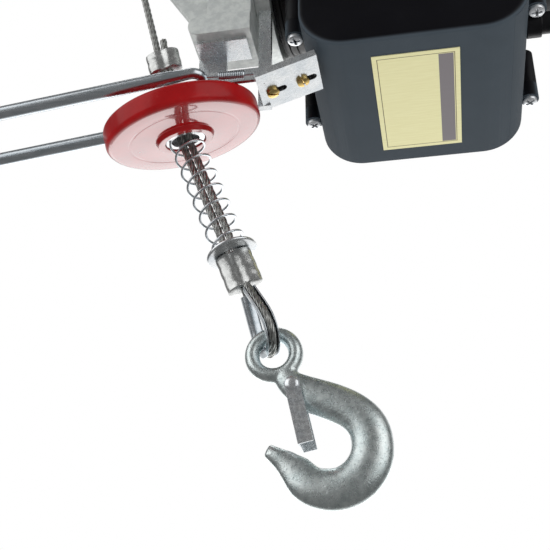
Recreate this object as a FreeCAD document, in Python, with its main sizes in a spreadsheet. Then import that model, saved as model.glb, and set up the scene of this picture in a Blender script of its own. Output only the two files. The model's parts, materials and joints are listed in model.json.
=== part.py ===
import FreeCAD, Part
import math
import os
import re
import Sketcher

# Electric rope winch hung from a square bar: drum on the left, then gear case, motor and control box.
# Millimetres. X runs along the motor axis, Y to the rear, Z up. The origin is the centre of the hanging bar.

doc = FreeCAD.newDocument("rope_winch")
sheet = doc.addObject("Spreadsheet::Sheet", "sizes")

# Driving dimensions. Every alias is a word with an underscore; x_ values are stations along the motor axis.
SIZES = {
    "axis_drop": 109.0, "drum_rise": 38.0, "bar_side": 40.0, "bar_play": 1.0, "fit_gap": 0.3,
    "rope_dia": 4.0, "drum_core": 15.0, "drum_flange": 31.5, "flange_wall": 3.0, "drum_half": 40.0,
    "rope_layers": 4.0, "layer_rise": 3.464, "exit_x": -3.45, "drum_shaft": 8.5, "shaft_play": 0.05,
    "bearing_outer": 15.0, "bearing_width": 8.0,
    "plate_x": -57.0, "plate_wall": 7.0, "plate_half": 46.0, "plate_depth": 56.0, "seat_height": 84.0,
    "case_x": 47.0, "case_length": 35.0, "case_outer": 66.0, "case_wall": 4.5, "foot_front": 38.5,
    "foot_depth": 32.5, "foot_drop": 93.0, "foot_inset": 10.0, "slab_height": 13.0,
    "hub_radius": 22.0, "hub_face": 3.0,
    "cover_wall": 9.0, "flange_length": 6.0, "cover_outer": 70.0,
    "tie_side": 39.0, "tie_high": 22.0, "tie_low": 48.0, "tie_rod": 4.5, "tie_boss": 6.8, "boss_reach": 17.0,
    "gear_module": 1.0, "wheel_teeth": 45.0, "pinion_teeth": 11.0, "wheel_width": 8.0, "pinion_width": 11.0,
    "gear_backlash": 0.2, "lay_shaft": 4.0, "bush_wall": 2.0,
    "motor_outer": 62.0, "motor_wall": 3.5, "motor_length": 124.0, "stator_bore": 34.0, "air_gap": 0.6,
    "winding_reach": 12.0, "core_margin": 18.0, "rotor_shaft": 6.0, "rotor_bearing": 14.0, "shield_wall": 6.0,
    "fan_outer": 52.0, "fan_width": 12.0, "cowl_length": 36.0, "cowl_wall": 1.5,
    "brake_outer": 32.0, "brake_wall": 3.0,
    "strap_width": 26.0, "strap_wall": 4.0, "bolt_radius": 4.0, "strap_bolt": 35.0,
    "box_x": 110.5, "box_width": 120.0, "box_front": 52.0, "box_depth": 112.0, "box_drop": 123.0,
    "box_round": 25.0, "box_edge": 3.0, "box_wall": 2.5, "box_split": 86.0, "box_top": 36.0,
    "lug_out": 4.8, "lug_radius": 5.5, "lug_height": 10.0, "lug_front": 29.0, "lug_inset": 12.0,
    "lug_tower": 24.0,
    "screw_radius": 4.2, "screw_head": 3.0, "screw_shank": 2.0,
    "label_width": 46.0, "label_length": 84.0, "label_wall": 0.4, "label_x": 147.0,
    "gland_radius": 7.5, "gland_length": 16.0, "gland_bore": 4.0, "gland_front": 15.5, "gland_drop": 94.0,
    "pivot_x": 57.1, "pivot_drop": 126.8, "lever_rod": 3.0, "lever_spread": 38.0, "lever_reach": 140.0,
    "lever_droop": 6.65, "bracket_wall": 2.0, "ear_width": 16.0, "ear_tail": 7.0, "ear_wall": 3.5,
    "tail_width": 8.0, "tail_wall": 1.6, "hanger_width": 7.0, "hanger_wall": 4.0, "hanger_in": 17.0,
    "rib_at": 30.0, "rib_wall": 5.0, "rib_reach": 17.0, "rib_foot": 81.0, "rib_low": 52.0, "rib_high": 30.0,
    "tongue_lean": 18.0, "tongue_length": 34.0, "tongue_wall": 1.6, "tongue_lip": 4.0, "tongue_depth": 28.0,
    "tongue_x": 87.0, "tongue_drop": 135.0, "slot_start": 7.0, "slot_run": 6.0,
    "switch_depth": 10.0, "switch_height": 10.0,
    "screw_pitch": 17.0, "brass_head": 3.8,
    "disc_x": 43.2, "disc_drop": 149.3, "upper_lean": 14.0, "lower_lean": 20.5,
    "disc_radius": 42.0, "disc_height": 12.0, "disc_bore": 10.8, "disc_hub": 14.8, "hub_height": 2.5,
    "disc_web": 5.0, "disc_rim": 4.0, "bush_bore": 7.6,
    "disc_tilt": 19.389, "disc_turn": 51.852, "pair_bend": 150.0,
    "pair_offset": 2.05, "tail_length": 12.0, "splice_up": 49.5, "splice_length": 14.0, "splice_width": 19.0,
    "splice_depth": 9.5,
    "spring_top": 5.5, "spring_mean": 8.6, "spring_wire": 0.65, "spring_turns": 8.0, "washer_at": 83.4,
    "washer_radius": 13.0, "washer_wall": 1.6, "ferrule_length": 20.5,
    "eye_at": 144.3, "thimble_inner": 8.2, "thimble_wall": 1.1, "thimble_turn": 20.0,
    "ring_mean": 10.3, "ring_half": 3.5, "ring_depth": 4.0, "hook_lean": 28.0,
    "bowl_drop": 52.1, "bowl_radius": 19.4, "bowl_width": 9.3, "bowl_depth": 7.0, "neck_drop": 19.5,
    "neck_width": 6.6, "neck_depth": 5.0, "tip_side": 22.3, "tip_drop": 37.5,
    "rivet_radius": 2.0, "latch_length": 28.5, "latch_width": 7.0, "latch_wall": 0.8, "latch_lean": 16.0, "web_start": 11.0,
}
for row, (alias, number) in enumerate(SIZES.items(), start=1):
    sheet.set("A%d" % row, alias)
    sheet.set("B%d" % row, str(number))
    sheet.setAlias("B%d" % row, alias)
doc.recompute()


class Sizes:
    """The sheet's cells as plain numbers."""

    def __getattr__(self, alias):
        return float(sheet.get(alias))


size = Sizes()
parts = []
ALIAS = re.compile(r"\b[a-z]+(?:_[a-z0-9]+)+\b")


def bind(thing, prop, rule):
    """Tie a property to a rule written with the sheet's aliases."""
    thing.setExpression(prop, ALIAS.sub(lambda found: "sizes." + found.group(0), rule))


def keep(thing, node):
    """Name a finished sub-part; the name becomes its node and its file."""
    thing.Label = node
    parts.append(thing)
    return thing


def place(thing, at_x="0", at_y="0", at_z="0"):
    """Put a piece at a point given from the motor axis, which lies axis_drop under the origin."""
    bind(thing, "Placement.Base.x", at_x)
    bind(thing, "Placement.Base.y", at_y)
    bind(thing, "Placement.Base.z", "(%s) - axis_drop" % at_z)
    return thing


def bar_x(radius, start, length, at_y="0", at_z="0"):
    """Cylinder along X from the station start."""
    thing = doc.addObject("Part::Cylinder", "bar")
    bind(thing, "Radius", radius)
    bind(thing, "Height", length)
    thing.Placement = FreeCAD.Placement(FreeCAD.Vector(), FreeCAD.Rotation(FreeCAD.Vector(0, 1, 0), 90))
    return place(thing, start, at_y, at_z)


def bar_y(radius, start, length, at_x="0", at_z="0"):
    """Cylinder along Y from the depth start."""
    thing = doc.addObject("Part::Cylinder", "pin")
    bind(thing, "Radius", radius)
    bind(thing, "Height", length)
    thing.Placement = FreeCAD.Placement(FreeCAD.Vector(), FreeCAD.Rotation(FreeCAD.Vector(1, 0, 0), -90))
    return place(thing, at_x, start, at_z)


def bar_z(radius, start, length, at_x="0", at_y="0"):
    """Cylinder along Z from the height start."""
    thing = doc.addObject("Part::Cylinder", "post")
    bind(thing, "Radius", radius)
    bind(thing, "Height", length)
    return place(thing, at_x, at_y, start)


def block(size_x, size_y, size_z, at_x, at_y, at_z):
    """Box from its lowest corner."""
    thing = doc.addObject("Part::Box", "block")
    bind(thing, "Length", size_x)
    bind(thing, "Width", size_y)
    bind(thing, "Height", size_z)
    return place(thing, at_x, at_y, at_z)


def join(*things):
    """One solid, or a group of solids, out of several."""
    whole = doc.addObject("Part::MultiFuse", "joined")
    whole.Shapes = list(things)
    return whole


def cut(base, *tools):
    """The base less every tool."""
    result = doc.addObject("Part::Cut", "cut")
    result.Base = base
    result.Tool = tools[0] if len(tools) == 1 else join(*tools)
    return result


def tube_x(outer, inner, start, length, at_y="0", at_z="0"):
    """Ring or tube along X."""
    return cut(bar_x(outer, start, length, at_y, at_z),
               bar_x(inner, "(%s) - 1" % start, "(%s) + 2" % length, at_y, at_z))


def new_body(node):
    """PartDesign body whose own origin lies on the motor axis."""
    thing = doc.addObject("PartDesign::Body", node)
    place(thing)
    return keep(thing, node)


def flat_sketch(body, role, name, offset="0"):
    """Sketch on one of the body's own origin planes, moved along its normal by the offset."""
    drawing = body.newObject("Sketcher::SketchObject", name)
    plane = [item for item in body.Origin.OriginFeatures if item.Role == role][0]
    drawing.AttachmentSupport = (plane, [""])
    drawing.MapMode = "FlatFace"
    bind(drawing, "AttachmentOffset.Base.z", offset)
    return drawing


def dimension(drawing, kind, rule, *where):
    """One dimension of a sketch, tied to its rule."""
    index = drawing.addConstraint(Sketcher.Constraint(kind, *where))
    bind(drawing, "Constraints[%d]" % index, rule)


def circle(drawing, radius, at_u=None, at_v=None):
    """Circle dimensioned from the sketch's origin; a missing offset puts its centre on that axis."""
    start_u = 0.0 if at_u is None else 10.0 * (1 if at_u[0] > 0 else -1)
    start_v = 0.0 if at_v is None else 10.0 * (1 if at_v[0] > 0 else -1)
    ring = drawing.addGeometry(Part.Circle(FreeCAD.Vector(start_u, start_v, 0), FreeCAD.Vector(0, 0, 1), 5.0))
    dimension(drawing, "Radius", radius, ring, 5.0)
    if at_u is None and at_v is None:
        drawing.addConstraint(Sketcher.Constraint("Coincident", ring, 3, -1, 1))
        return ring
    for kind, rule, axis in (("DistanceX", at_u, -2), ("DistanceY", at_v, -1)):
        if rule is None:
            drawing.addConstraint(Sketcher.Constraint("PointOnObject", ring, 3, axis))
            continue
        sign, text = rule
        ends = (-1, 1, ring, 3) if sign > 0 else (ring, 3, -1, 1)
        dimension(drawing, kind, text, *ends, 10.0)
    return ring


def rectangle(drawing, left, right, low, high):
    """Rectangle whose four sides are dimensioned from the origin; each side is (sign, rule)."""
    u = [10.0 * left[0] - 1.0, 10.0 * right[0] + 1.0]
    v = [10.0 * low[0] - 1.0, 10.0 * high[0] + 1.0]
    corners = [(u[0], v[0]), (u[1], v[0]), (u[1], v[1]), (u[0], v[1])]
    first = drawing.GeometryCount
    for index in range(4):
        start = FreeCAD.Vector(*corners[index], 0)
        end = FreeCAD.Vector(*corners[(index + 1) % 4], 0)
        drawing.addGeometry(Part.LineSegment(start, end))
    for index in range(4):
        drawing.addConstraint(Sketcher.Constraint("Coincident", first + index, 2, first + (index + 1) % 4, 1))
    for index, kind in enumerate(("Horizontal", "Vertical", "Horizontal", "Vertical")):
        drawing.addConstraint(Sketcher.Constraint(kind, first + index))
    for kind, line, (sign, text) in (("DistanceX", 3, left), ("DistanceX", 1, right),
                                     ("DistanceY", 0, low), ("DistanceY", 2, high)):
        ends = (-1, 1, first + line, 1) if sign > 0 else (first + line, 1, -1, 1)
        dimension(drawing, kind, text, *ends, 11.0)


def polygon(drawing, corners):
    """Closed outline with every corner dimensioned from the origin; a corner is two (sign, rule) offsets."""
    points = [FreeCAD.Vector(10.0 * u[0] * (1 + index), 10.0 * v[0] * (2 + index * index), 0)
              for index, (u, v) in enumerate(corners)]
    first = drawing.GeometryCount
    for index in range(len(points)):
        drawing.addGeometry(Part.LineSegment(points[index], points[(index + 1) % len(points)]))
    for index in range(len(points)):
        following = first + (index + 1) % len(points)
        drawing.addConstraint(Sketcher.Constraint("Coincident", first + index, 2, following, 1))
    for index, corner in enumerate(corners):
        for kind, (sign, text) in zip(("DistanceX", "DistanceY"), corner):
            ends = (-1, 1, first + index, 1) if sign > 0 else (first + index, 1, -1, 1)
            dimension(drawing, kind, text, *ends, 10.0)


def pad(body, drawing, length, name):
    """Pad along the sketch's normal."""
    feature = body.newObject("PartDesign::Pad", name)
    feature.Profile = drawing
    bind(feature, "Length", length)
    drawing.Visibility = False
    return feature


def pocket(body, drawing, length, name):
    """Pocket that removes material along the sketch's normal, from the sketch onwards."""
    doc.recompute()
    feature = body.newObject("PartDesign::Pocket", name)
    feature.Profile = drawing
    bind(feature, "Length", length)
    feature.Reversed = True
    before = body.Shape.Volume
    doc.recompute()
    if not body.Shape.Volume < before - 1.0:
        raise ValueError("%s removes nothing" % name)
    return feature


def edges_where(shape, test):
    """Names of the edges whose centre of mass and direction pass the test."""
    names = []
    for number, edge in enumerate(shape.Edges, start=1):
        if test(edge):
            names.append("Edge%d" % number)
    return names


def feature_solid(node, shape, placement=None):
    """Sub-part whose shape is worked out from the sheet's values."""
    thing = doc.addObject("Part::Feature", node)
    if placement is None:
        placement = FreeCAD.Placement(FreeCAD.Vector(0, 0, -size.axis_drop), FreeCAD.Rotation())
    own = shape.Placement
    thing.Shape = shape
    thing.Placement = placement.multiply(own)
    return keep(thing, node)


# Gear case: round casting with a hub for the drum shaft, a foot slab, tie rod bosses and a gusset.
gear_case = new_body("gear_case")
outline = flat_sketch(gear_case, "YZ_Plane", "case_outline", "case_x")
circle(outline, "case_outer")
pad(gear_case, outline, "case_length", "case_drum")
flange = flat_sketch(gear_case, "YZ_Plane", "flange_outline", "case_x + case_length - flange_length")
circle(flange, "cover_outer")
pad(gear_case, flange, "flange_length", "case_flange")
foot = flat_sketch(gear_case, "YZ_Plane", "foot_outline", "case_x + foot_inset")
rectangle(foot, (-1, "foot_front - 2"), (-1, "foot_front - foot_depth"),
          (-1, "foot_drop - 1"), (-1, "case_outer / 3"))
pad(gear_case, foot, "case_length - foot_inset", "case_foot")
slab = flat_sketch(gear_case, "XZ_Plane", "slab_outline", "foot_front")
rectangle(slab, (1, "case_x"), (1, "case_x + case_length"),
          (-1, "foot_drop"), (-1, "foot_drop - slab_height"))
slab_pad = pad(gear_case, slab, "foot_depth", "case_slab")
slab_pad.Reversed = True
doc.recompute()
slab_edges = edges_where(slab_pad.Shape, lambda edge: edge.Curve.TypeId == "Part::GeomLine"
                         and abs(edge.Curve.Direction.y) > 0.9 and edge.CenterOfMass.z < -size.case_outer
                         and edge.CenterOfMass.x < size.case_x + 1.0)
slab_round = gear_case.newObject("PartDesign::Fillet", "case_slab_round")
slab_round.Base = (slab_pad, slab_edges)
bind(slab_round, "Radius", "slab_height * 0.45")
doc.recompute()
seat = flat_sketch(gear_case, "YZ_Plane", "seat_outline", "case_x")
rectangle(seat, (-1, "strap_bolt + bolt_radius * 2.5"), (1, "strap_bolt + bolt_radius * 2.5"),
          (1, "case_outer / 2"), (1, "seat_height"))
pad(gear_case, seat, "strap_width", "case_seat")
hub = flat_sketch(gear_case, "YZ_Plane", "hub_outline", "case_x - hub_face")
circle(hub, "hub_radius", None, (1, "drum_rise"))
pad(gear_case, hub, "hub_face + case_wall * 2", "case_hub")
for side, side_sign in (("front", -1), ("rear", 1)):
    for level in ("high", "low"):
        boss = flat_sketch(gear_case, "YZ_Plane", "boss_%s_%s" % (side, level), "case_x - boss_reach")
        circle(boss, "tie_boss", (side_sign, "tie_side"), (1, "seat_height - tie_%s" % level))
        pad(gear_case, boss, "boss_reach + case_wall * 2", "case_boss_%s_%s" % (side, level))
gusset = flat_sketch(gear_case, "XZ_Plane", "gusset_outline", "rib_at")
polygon(gusset, (((1, "case_x + foot_inset + 1"), (-1, "rib_foot")), ((1, "case_x + 1"), (-1, "rib_foot")),
                 ((1, "case_x - rib_reach"), (-1, "rib_low")),
                 ((1, "case_x - rib_reach"), (-1, "rib_high")),
                 ((1, "case_x + foot_inset + 1"), (-1, "hub_face"))))
pad(gear_case, gusset, "rib_wall", "case_gusset")
cavity = flat_sketch(gear_case, "YZ_Plane", "cavity_outline", "case_x + case_wall")
circle(cavity, "case_outer - case_wall")
pocket(gear_case, cavity, "case_length", "case_cavity")
lobe = flat_sketch(gear_case, "YZ_Plane", "lobe_outline", "case_x + case_wall")
circle(lobe, "wheel_teeth * gear_module / 2 + case_wall", None, (1, "drum_rise"))
pocket(gear_case, lobe, "case_length - case_wall * 2", "case_lobe")
inner_hub = flat_sketch(gear_case, "YZ_Plane", "inner_hub_outline", "case_x + case_wall / 2")
circle(inner_hub, "bearing_outer + case_wall / 2", None, (1, "drum_rise"))
pad(gear_case, inner_hub, "bearing_width - case_wall / 2 + 1", "case_inner_hub")
bearing_seat = flat_sketch(gear_case, "YZ_Plane", "bearing_seat", "case_x - hub_face")
circle(bearing_seat, "bearing_outer", None, (1, "drum_rise"))
pocket(gear_case, bearing_seat, "bearing_width + hub_face", "case_bearing_seat")
shaft_way = flat_sketch(gear_case, "YZ_Plane", "shaft_way", "case_x - hub_face")
circle(shaft_way, "drum_shaft + 1", None, (1, "drum_rise"))
pocket(gear_case, shaft_way, "case_length", "case_shaft_way")
centre_distance = "gear_module * (wheel_teeth + pinion_teeth) / 2"
lay_z = "drum_rise / 2"
lay_y = "sqrt((%s) ^ 2 - (%s) ^ 2)" % (centre_distance, lay_z)
lay_boss = flat_sketch(gear_case, "YZ_Plane", "lay_boss", "case_x + case_wall / 2")
circle(lay_boss, "lay_shaft + bush_wall * 2", (1, lay_y), (1, lay_z))
pad(gear_case, lay_boss, "case_wall / 2 + 3", "case_lay_boss")
lay_seat = flat_sketch(gear_case, "YZ_Plane", "lay_seat", "case_x + case_wall / 3")
circle(lay_seat, "lay_shaft + bush_wall", (1, lay_y), (1, lay_z))
pocket(gear_case, lay_seat, "case_wall + 3", "case_lay_seat")
for side, side_sign in (("front", -1), ("rear", 1)):
    for level in ("high", "low"):
        hole = flat_sketch(gear_case, "YZ_Plane", "rod_hole_%s_%s" % (side, level), "case_x - boss_reach")
        circle(hole, "tie_rod", (side_sign, "tie_side"), (1, "seat_height - tie_%s" % level))
        pocket(gear_case, hole, "boss_reach + case_wall / 2", "case_rod_hole_%s_%s" % (side, level))

# Case cover: flange towards the motor, with the rotor bearing seat.
cover_x = "case_x + case_length"
cover_disc = bar_x("cover_outer", cover_x, "cover_wall")
spigot = bar_x("case_outer - case_wall - fit_gap", "%s - 2" % cover_x, "3")
cover_hub = bar_x("rotor_bearing + 3", "%s - 2" % cover_x, "cover_wall + 6")
cover_holes = [bar_x("rotor_bearing", "%s - 1" % cover_x, "cover_wall + 6"),
               bar_x("rotor_shaft + 1.5", "%s - 10" % cover_x, "cover_wall + 20"),
               bar_x("lay_shaft + bush_wall", "%s - 3" % cover_x, "9", lay_y, lay_z)]
keep(cut(join(cover_disc, spigot, cover_hub), *cover_holes), "case_cover")

# Drum end plate: casting with a blind bearing housing and the second strap seat.
plate = block("plate_wall", "plate_half * 2", "plate_depth",
              "plate_x", "-plate_half", "seat_height - plate_depth")
rounded = doc.addObject("Part::Fillet", "plate_rounded")
rounded.Base = plate
doc.recompute()
long_edges = [number for number, edge in enumerate(plate.Shape.Edges, start=1)
              if abs(edge.tangentAt(edge.FirstParameter).x) > 0.9]
rounded.Edges = [(number, size.tie_boss, size.tie_boss) for number in long_edges]
plate_hub = bar_x("bearing_outer + 5", "plate_x - bearing_width", "bearing_width + plate_wall",
                  "0", "drum_rise")
plate_pad = block("strap_width", "strap_bolt * 2 + bolt_radius * 5", "12",
                  "plate_x + plate_wall - strap_width", "-strap_bolt - bolt_radius * 2.5", "seat_height - 12")
plate_tools = [bar_x("bearing_outer", "plate_x - bearing_width + 3", "bearing_width + plate_wall",
                     "0", "drum_rise")]
for side in ("-", ""):
    for rise in ("seat_height - tie_high", "seat_height - tie_low"):
        plate_tools.append(bar_x("tie_rod + 0.1", "plate_x - 20", "60", side + "tie_side", rise))
keep(cut(join(rounded, plate_hub, plate_pad), *plate_tools), "drum_end_plate")

# Tie rods from the end plate into the case bosses, each with a nut outside the plate.
rods = []
nuts = []
for side in ("-", ""):
    for rise in ("seat_height - tie_high", "seat_height - tie_low"):
        rods.append(bar_x("tie_rod", "plate_x - 8", "case_x + case_wall / 2 - plate_x + 8",
                          side + "tie_side", rise))
        nut = doc.addObject("Part::Prism", "nut")
        nut.Polygon = 6
        bind(nut, "Circumradius", "tie_rod * 1.85")
        bind(nut, "Height", "tie_rod * 1.2")
        nut.Placement = FreeCAD.Placement(FreeCAD.Vector(), FreeCAD.Rotation(FreeCAD.Vector(0, 1, 0), 90))
        place(nut, "plate_x - tie_rod * 1.2", side + "tie_side", rise)
        nuts.append(cut(nut, bar_x("tie_rod", "plate_x - 20", "40", side + "tie_side", rise)))
keep(join(*rods), "tie_rods")
keep(join(*nuts), "tie_nuts")


def strap(node, start):
    """Hanging strap: a bent flat bar that closes round the square bar on a base plate."""
    opening = "bar_side + bar_play * 2"
    base = block("strap_width", "strap_bolt * 2 + bolt_radius * 5", "strap_wall", start,
                 "-strap_bolt - bolt_radius * 2.5", "seat_height")
    outer = block("strap_width", "%s + strap_wall * 2" % opening, "%s + strap_wall" % opening, start,
                  "-(%s) / 2 - strap_wall" % opening, "seat_height + strap_wall")
    inner = block("strap_width + 2", opening, opening, "(%s) - 1" % start, "-(%s) / 2" % opening,
                  "seat_height + strap_wall")
    feet = block("strap_width", "strap_bolt * 2 + bolt_radius * 5", "strap_wall", start,
                 "-strap_bolt - bolt_radius * 2.5", "seat_height + strap_wall")
    middle = "(%s) + strap_width / 2" % start
    holes = [bar_z("bolt_radius", "seat_height - 1", "strap_wall * 4", middle, side + "strap_bolt")
             for side in ("-", "")]
    return keep(cut(join(base, outer, feet), inner, *holes), node)


strap("hanging_strap_left", "plate_x + plate_wall - strap_width")
strap("hanging_strap_right", "case_x")
bolts = []
for start in ("plate_x + plate_wall - strap_width / 2", "case_x + strap_width / 2"):
    for side in ("-", ""):
        shank = bar_z("bolt_radius", "seat_height", "strap_wall * 2", start, side + "strap_bolt")
        head = doc.addObject("Part::Prism", "bolt_head")
        head.Polygon = 6
        bind(head, "Circumradius", "bolt_radius * 1.8")
        bind(head, "Height", "bolt_radius * 1.4")
        place(head, start, side + "strap_bolt", "seat_height + strap_wall * 2")
        bolts.append(join(shank, head))
keep(join(*bolts), "strap_bolts")

# Motor: housing, stator core and winding, rear shield, brake plate and fan cover.
motor_x = "case_x + case_length + cover_wall"
shield_x = "%s + motor_length" % motor_x
core_x = "%s + core_margin" % motor_x
core_length = "(motor_length - core_margin * 2 - shield_wall)"
fins = [tube_x("motor_outer + 1.6", "motor_outer - 1", "%s + 2 + %d * 4.5" % (motor_x, index), "2.4")
        for index in range(2)]
keep(join(tube_x("motor_outer", "motor_outer - motor_wall", motor_x, "motor_length"), *fins), "motor_housing")
keep(tube_x("motor_outer - motor_wall", "stator_bore", core_x, core_length), "stator_core")
windings = [tube_x("motor_outer - motor_wall - 5", "stator_bore + 3", start, "winding_reach")
            for start in ("%s - winding_reach" % core_x, "%s + %s" % (core_x, core_length))]
keep(join(*windings), "stator_winding")
shield = join(bar_x("motor_outer", shield_x, "shield_wall"),
              bar_x("rotor_bearing + 3", "%s - 4" % shield_x, "shield_wall + 4"))
keep(cut(shield, bar_x("rotor_bearing", "%s - 5" % shield_x, "8 + 1"),
         bar_x("rotor_shaft + 1.5", "%s - 10" % shield_x, "40")), "rear_shield")
brake_x = "%s + shield_wall" % shield_x
keep(tube_x("brake_outer", "rotor_shaft + 3", brake_x, "brake_wall"), "brake_plate")
cowl_x = brake_x
cowl = cut(bar_x("motor_outer", cowl_x, "cowl_length"),
           bar_x("motor_outer - cowl_wall", "%s - 1" % cowl_x, "cowl_length + 1 - cowl_wall"))
slots = []
for ring, count in ((14, 6), (26, 12), (38, 18)):
    for index in range(count):
        angle = index * 360.0 / count
        slots.append(bar_x("3.4", "%s + cowl_length / 2" % cowl_x, "cowl_length",
                           "%s * cos(%s)" % (ring, angle), "%s * sin(%s)" % (ring, angle)))
keep(cut(cowl, *slots), "fan_cover")

# Rotor: shaft with its pinion, laminated core, brake disc and fan.
core_radius = "stator_bore - air_gap"
keep(tube_x(core_radius, "rotor_shaft", core_x, core_length), "rotor_core")
keep(tube_x("brake_outer - 2", "rotor_shaft", "%s + brake_wall + fit_gap" % brake_x, "brake_wall"),
     "brake_disc")
fan_x = "%s + brake_wall * 2 + fit_gap + 2" % brake_x
blades = []
for index in range(7):
    angle = index * 360.0 / 7
    blade = doc.addObject("Part::Box", "blade")
    bind(blade, "Length", "fan_width")
    bind(blade, "Width", "cowl_wall")
    bind(blade, "Height", "fan_outer - rotor_shaft - 2")
    turn = FreeCAD.Rotation(FreeCAD.Vector(1, 0, 0), angle)
    blade.Placement = FreeCAD.Placement(FreeCAD.Vector(), turn)
    place(blade, fan_x, "-(rotor_shaft + 2) * sin(%s)" % angle, "(rotor_shaft + 2) * cos(%s)" % angle)
    blades.append(blade)
fan_hub = bar_x("rotor_shaft + 4", fan_x, "fan_width")
fan_back = bar_x("fan_outer - 6", fan_x, "cowl_wall")
keep(cut(join(fan_hub, fan_back, *blades), bar_x("rotor_shaft", "%s - 1" % fan_x, "fan_width + 2")),
     "cooling_fan")


def gear_shape(teeth, width, bore):
    """Spur gear along X: involute flanks from the base circle, a tooth centred on the Y axis."""
    pitch = size.gear_module * teeth / 2.0
    pressure = math.radians(20.0)
    base = pitch * math.cos(pressure)
    tip = pitch + size.gear_module
    root = pitch - 1.25 * size.gear_module
    half = (math.pi * size.gear_module / 2.0 - size.gear_backlash) / 2.0 / pitch
    involute = lambda angle: math.tan(angle) - angle
    points = []
    for tooth in range(int(teeth)):
        centre = 2.0 * math.pi * tooth / teeth
        flank = []
        for step in range(4):
            radius = max(base, root + 0.05) + (tip - max(base, root + 0.05)) * step / 3.0
            spread = half + involute(pressure) - involute(math.acos(min(1.0, base / radius)))
            flank.append((radius, spread))
        foot_spread = flank[0][1]
        chain = [(root, -foot_spread)] + [(r, -s) for r, s in flank]
        chain += [(r, s) for r, s in reversed(flank)] + [(root, foot_spread)]
        for radius, spread in chain:
            turned = centre + spread
            points.append(FreeCAD.Vector(0, radius * math.cos(turned), radius * math.sin(turned)))
    points.append(points[0])
    solid = Part.Face(Part.makePolygon(points)).extrude(FreeCAD.Vector(width, 0, 0))
    if bore:
        hole = Part.makeCylinder(bore, width + 2, FreeCAD.Vector(-1, 0, 0), FreeCAD.Vector(1, 0, 0))
        solid = solid.cut(hole)
    return solid


def on_shaft(at_x, at_y, at_z, turn):
    """Placement of a piece along X, turned about X by an angle in degrees."""
    return FreeCAD.Placement(FreeCAD.Vector(at_x, at_y, at_z - size.axis_drop),
                             FreeCAD.Rotation(FreeCAD.Vector(1, 0, 0), turn))


def shaft_solid(radius, start, end):
    """Plain round bar along X."""
    return Part.makeCylinder(radius, end - start, FreeCAD.Vector(start, 0, 0), FreeCAD.Vector(1, 0, 0))


# Two-stage spur gear train in the case: rotor pinion, layshaft wheel, layshaft pinion, output wheel.
distance = size.gear_module * (size.wheel_teeth + size.pinion_teeth) / 2.0
lay_at_z = size.drum_rise / 2.0
lay_at_y = math.sqrt(distance ** 2 - lay_at_z ** 2)
lay_angle = math.degrees(math.atan2(lay_at_z, lay_at_y))
inner_x = size.case_x + size.bearing_width + 1.5
out_wheel_x = inner_x
lay_wheel_x = out_wheel_x + size.pinion_width + 1.5
rotor_pinion_x = lay_wheel_x - 1.0
cover_at = size.case_x + size.case_length
motor_at = cover_at + size.cover_wall
shield_at = motor_at + size.motor_length
brake_at = shield_at + size.shield_wall
fan_at = brake_at + size.brake_wall * 2 + size.fit_gap + 2
half_tooth = 180.0 / size.wheel_teeth

wheel = gear_shape(size.wheel_teeth, size.wheel_width, size.drum_shaft)
feature_solid("output_gear", wheel, on_shaft(out_wheel_x + 1.0, 0, size.drum_rise, half_tooth - lay_angle))
pinion = gear_shape(size.pinion_teeth, size.pinion_width, 0)
lay_bar = shaft_solid(size.lay_shaft, size.case_x + size.case_wall / 3.0 + size.fit_gap, cover_at + 4.0)
lay_pinion = pinion.copy()
lay_pinion.translate(FreeCAD.Vector(out_wheel_x, 0, 0))
feature_solid("lay_shaft", lay_bar.fuse(lay_pinion), on_shaft(0, lay_at_y, lay_at_z, 180.0 - lay_angle))
lay_wheel = gear_shape(size.wheel_teeth, size.wheel_width, size.lay_shaft)
feature_solid("lay_gear", lay_wheel,
              on_shaft(lay_wheel_x, lay_at_y, lay_at_z, lay_angle + 180.0 + half_tooth))
rotor_bar = shaft_solid(size.rotor_shaft, cover_at - 1.0, fan_at + size.fan_width + 2)
rotor_neck = shaft_solid(size.lay_shaft, rotor_pinion_x, cover_at)
rotor_pinion = pinion.copy()
rotor_pinion.translate(FreeCAD.Vector(rotor_pinion_x, 0, 0))
feature_solid("rotor_shaft", rotor_bar.fuse([rotor_neck, rotor_pinion]), on_shaft(0, 0, 0, lay_angle))

bushes = [tube_x("lay_shaft + bush_wall", "lay_shaft + shaft_play", start, length, lay_y, lay_z)
          for start, length in (("case_x + case_wall / 3", "case_wall * 2 / 3 + 3"),
                                ("%s - 2" % cover_x, "7"))]
keep(join(*bushes), "lay_bushes")
rotor_rings = [tube_x("rotor_bearing", "rotor_shaft + shaft_play", "%s - 1" % cover_x, "bearing_width"),
               tube_x("rotor_bearing", "rotor_shaft + shaft_play", "%s - 4" % shield_x, "bearing_width")]
keep(join(*rotor_rings), "rotor_bearings")
drum_rings = [tube_x("bearing_outer", "drum_shaft + shaft_play", start, length, "0", "drum_rise")
              for start, length in (("case_x - hub_face + 1", "bearing_width + 2"),
                                    ("plate_x - bearing_width + 3", "bearing_width + plate_wall - 3"))]
keep(join(*drum_rings), "drum_bearings")

# Drum: core with two flanges on its shaft, and the wound rope.
core = join(bar_x("drum_core", "-drum_half", "drum_half * 2", "0", "drum_rise"),
            bar_x("drum_flange", "-drum_half - flange_wall", "flange_wall", "0", "drum_rise"),
            bar_x("drum_flange", "drum_half", "flange_wall", "0", "drum_rise"))
keep(cut(core, bar_x("drum_shaft", "-drum_half * 2", "drum_half * 4", "0", "drum_rise")), "rope_drum")
keep(bar_x("drum_shaft", "plate_x - bearing_width + 4",
           "case_x - plate_x + bearing_width * 2 + wheel_width - 0.5", "0", "drum_rise"), "drum_shaft")


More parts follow.
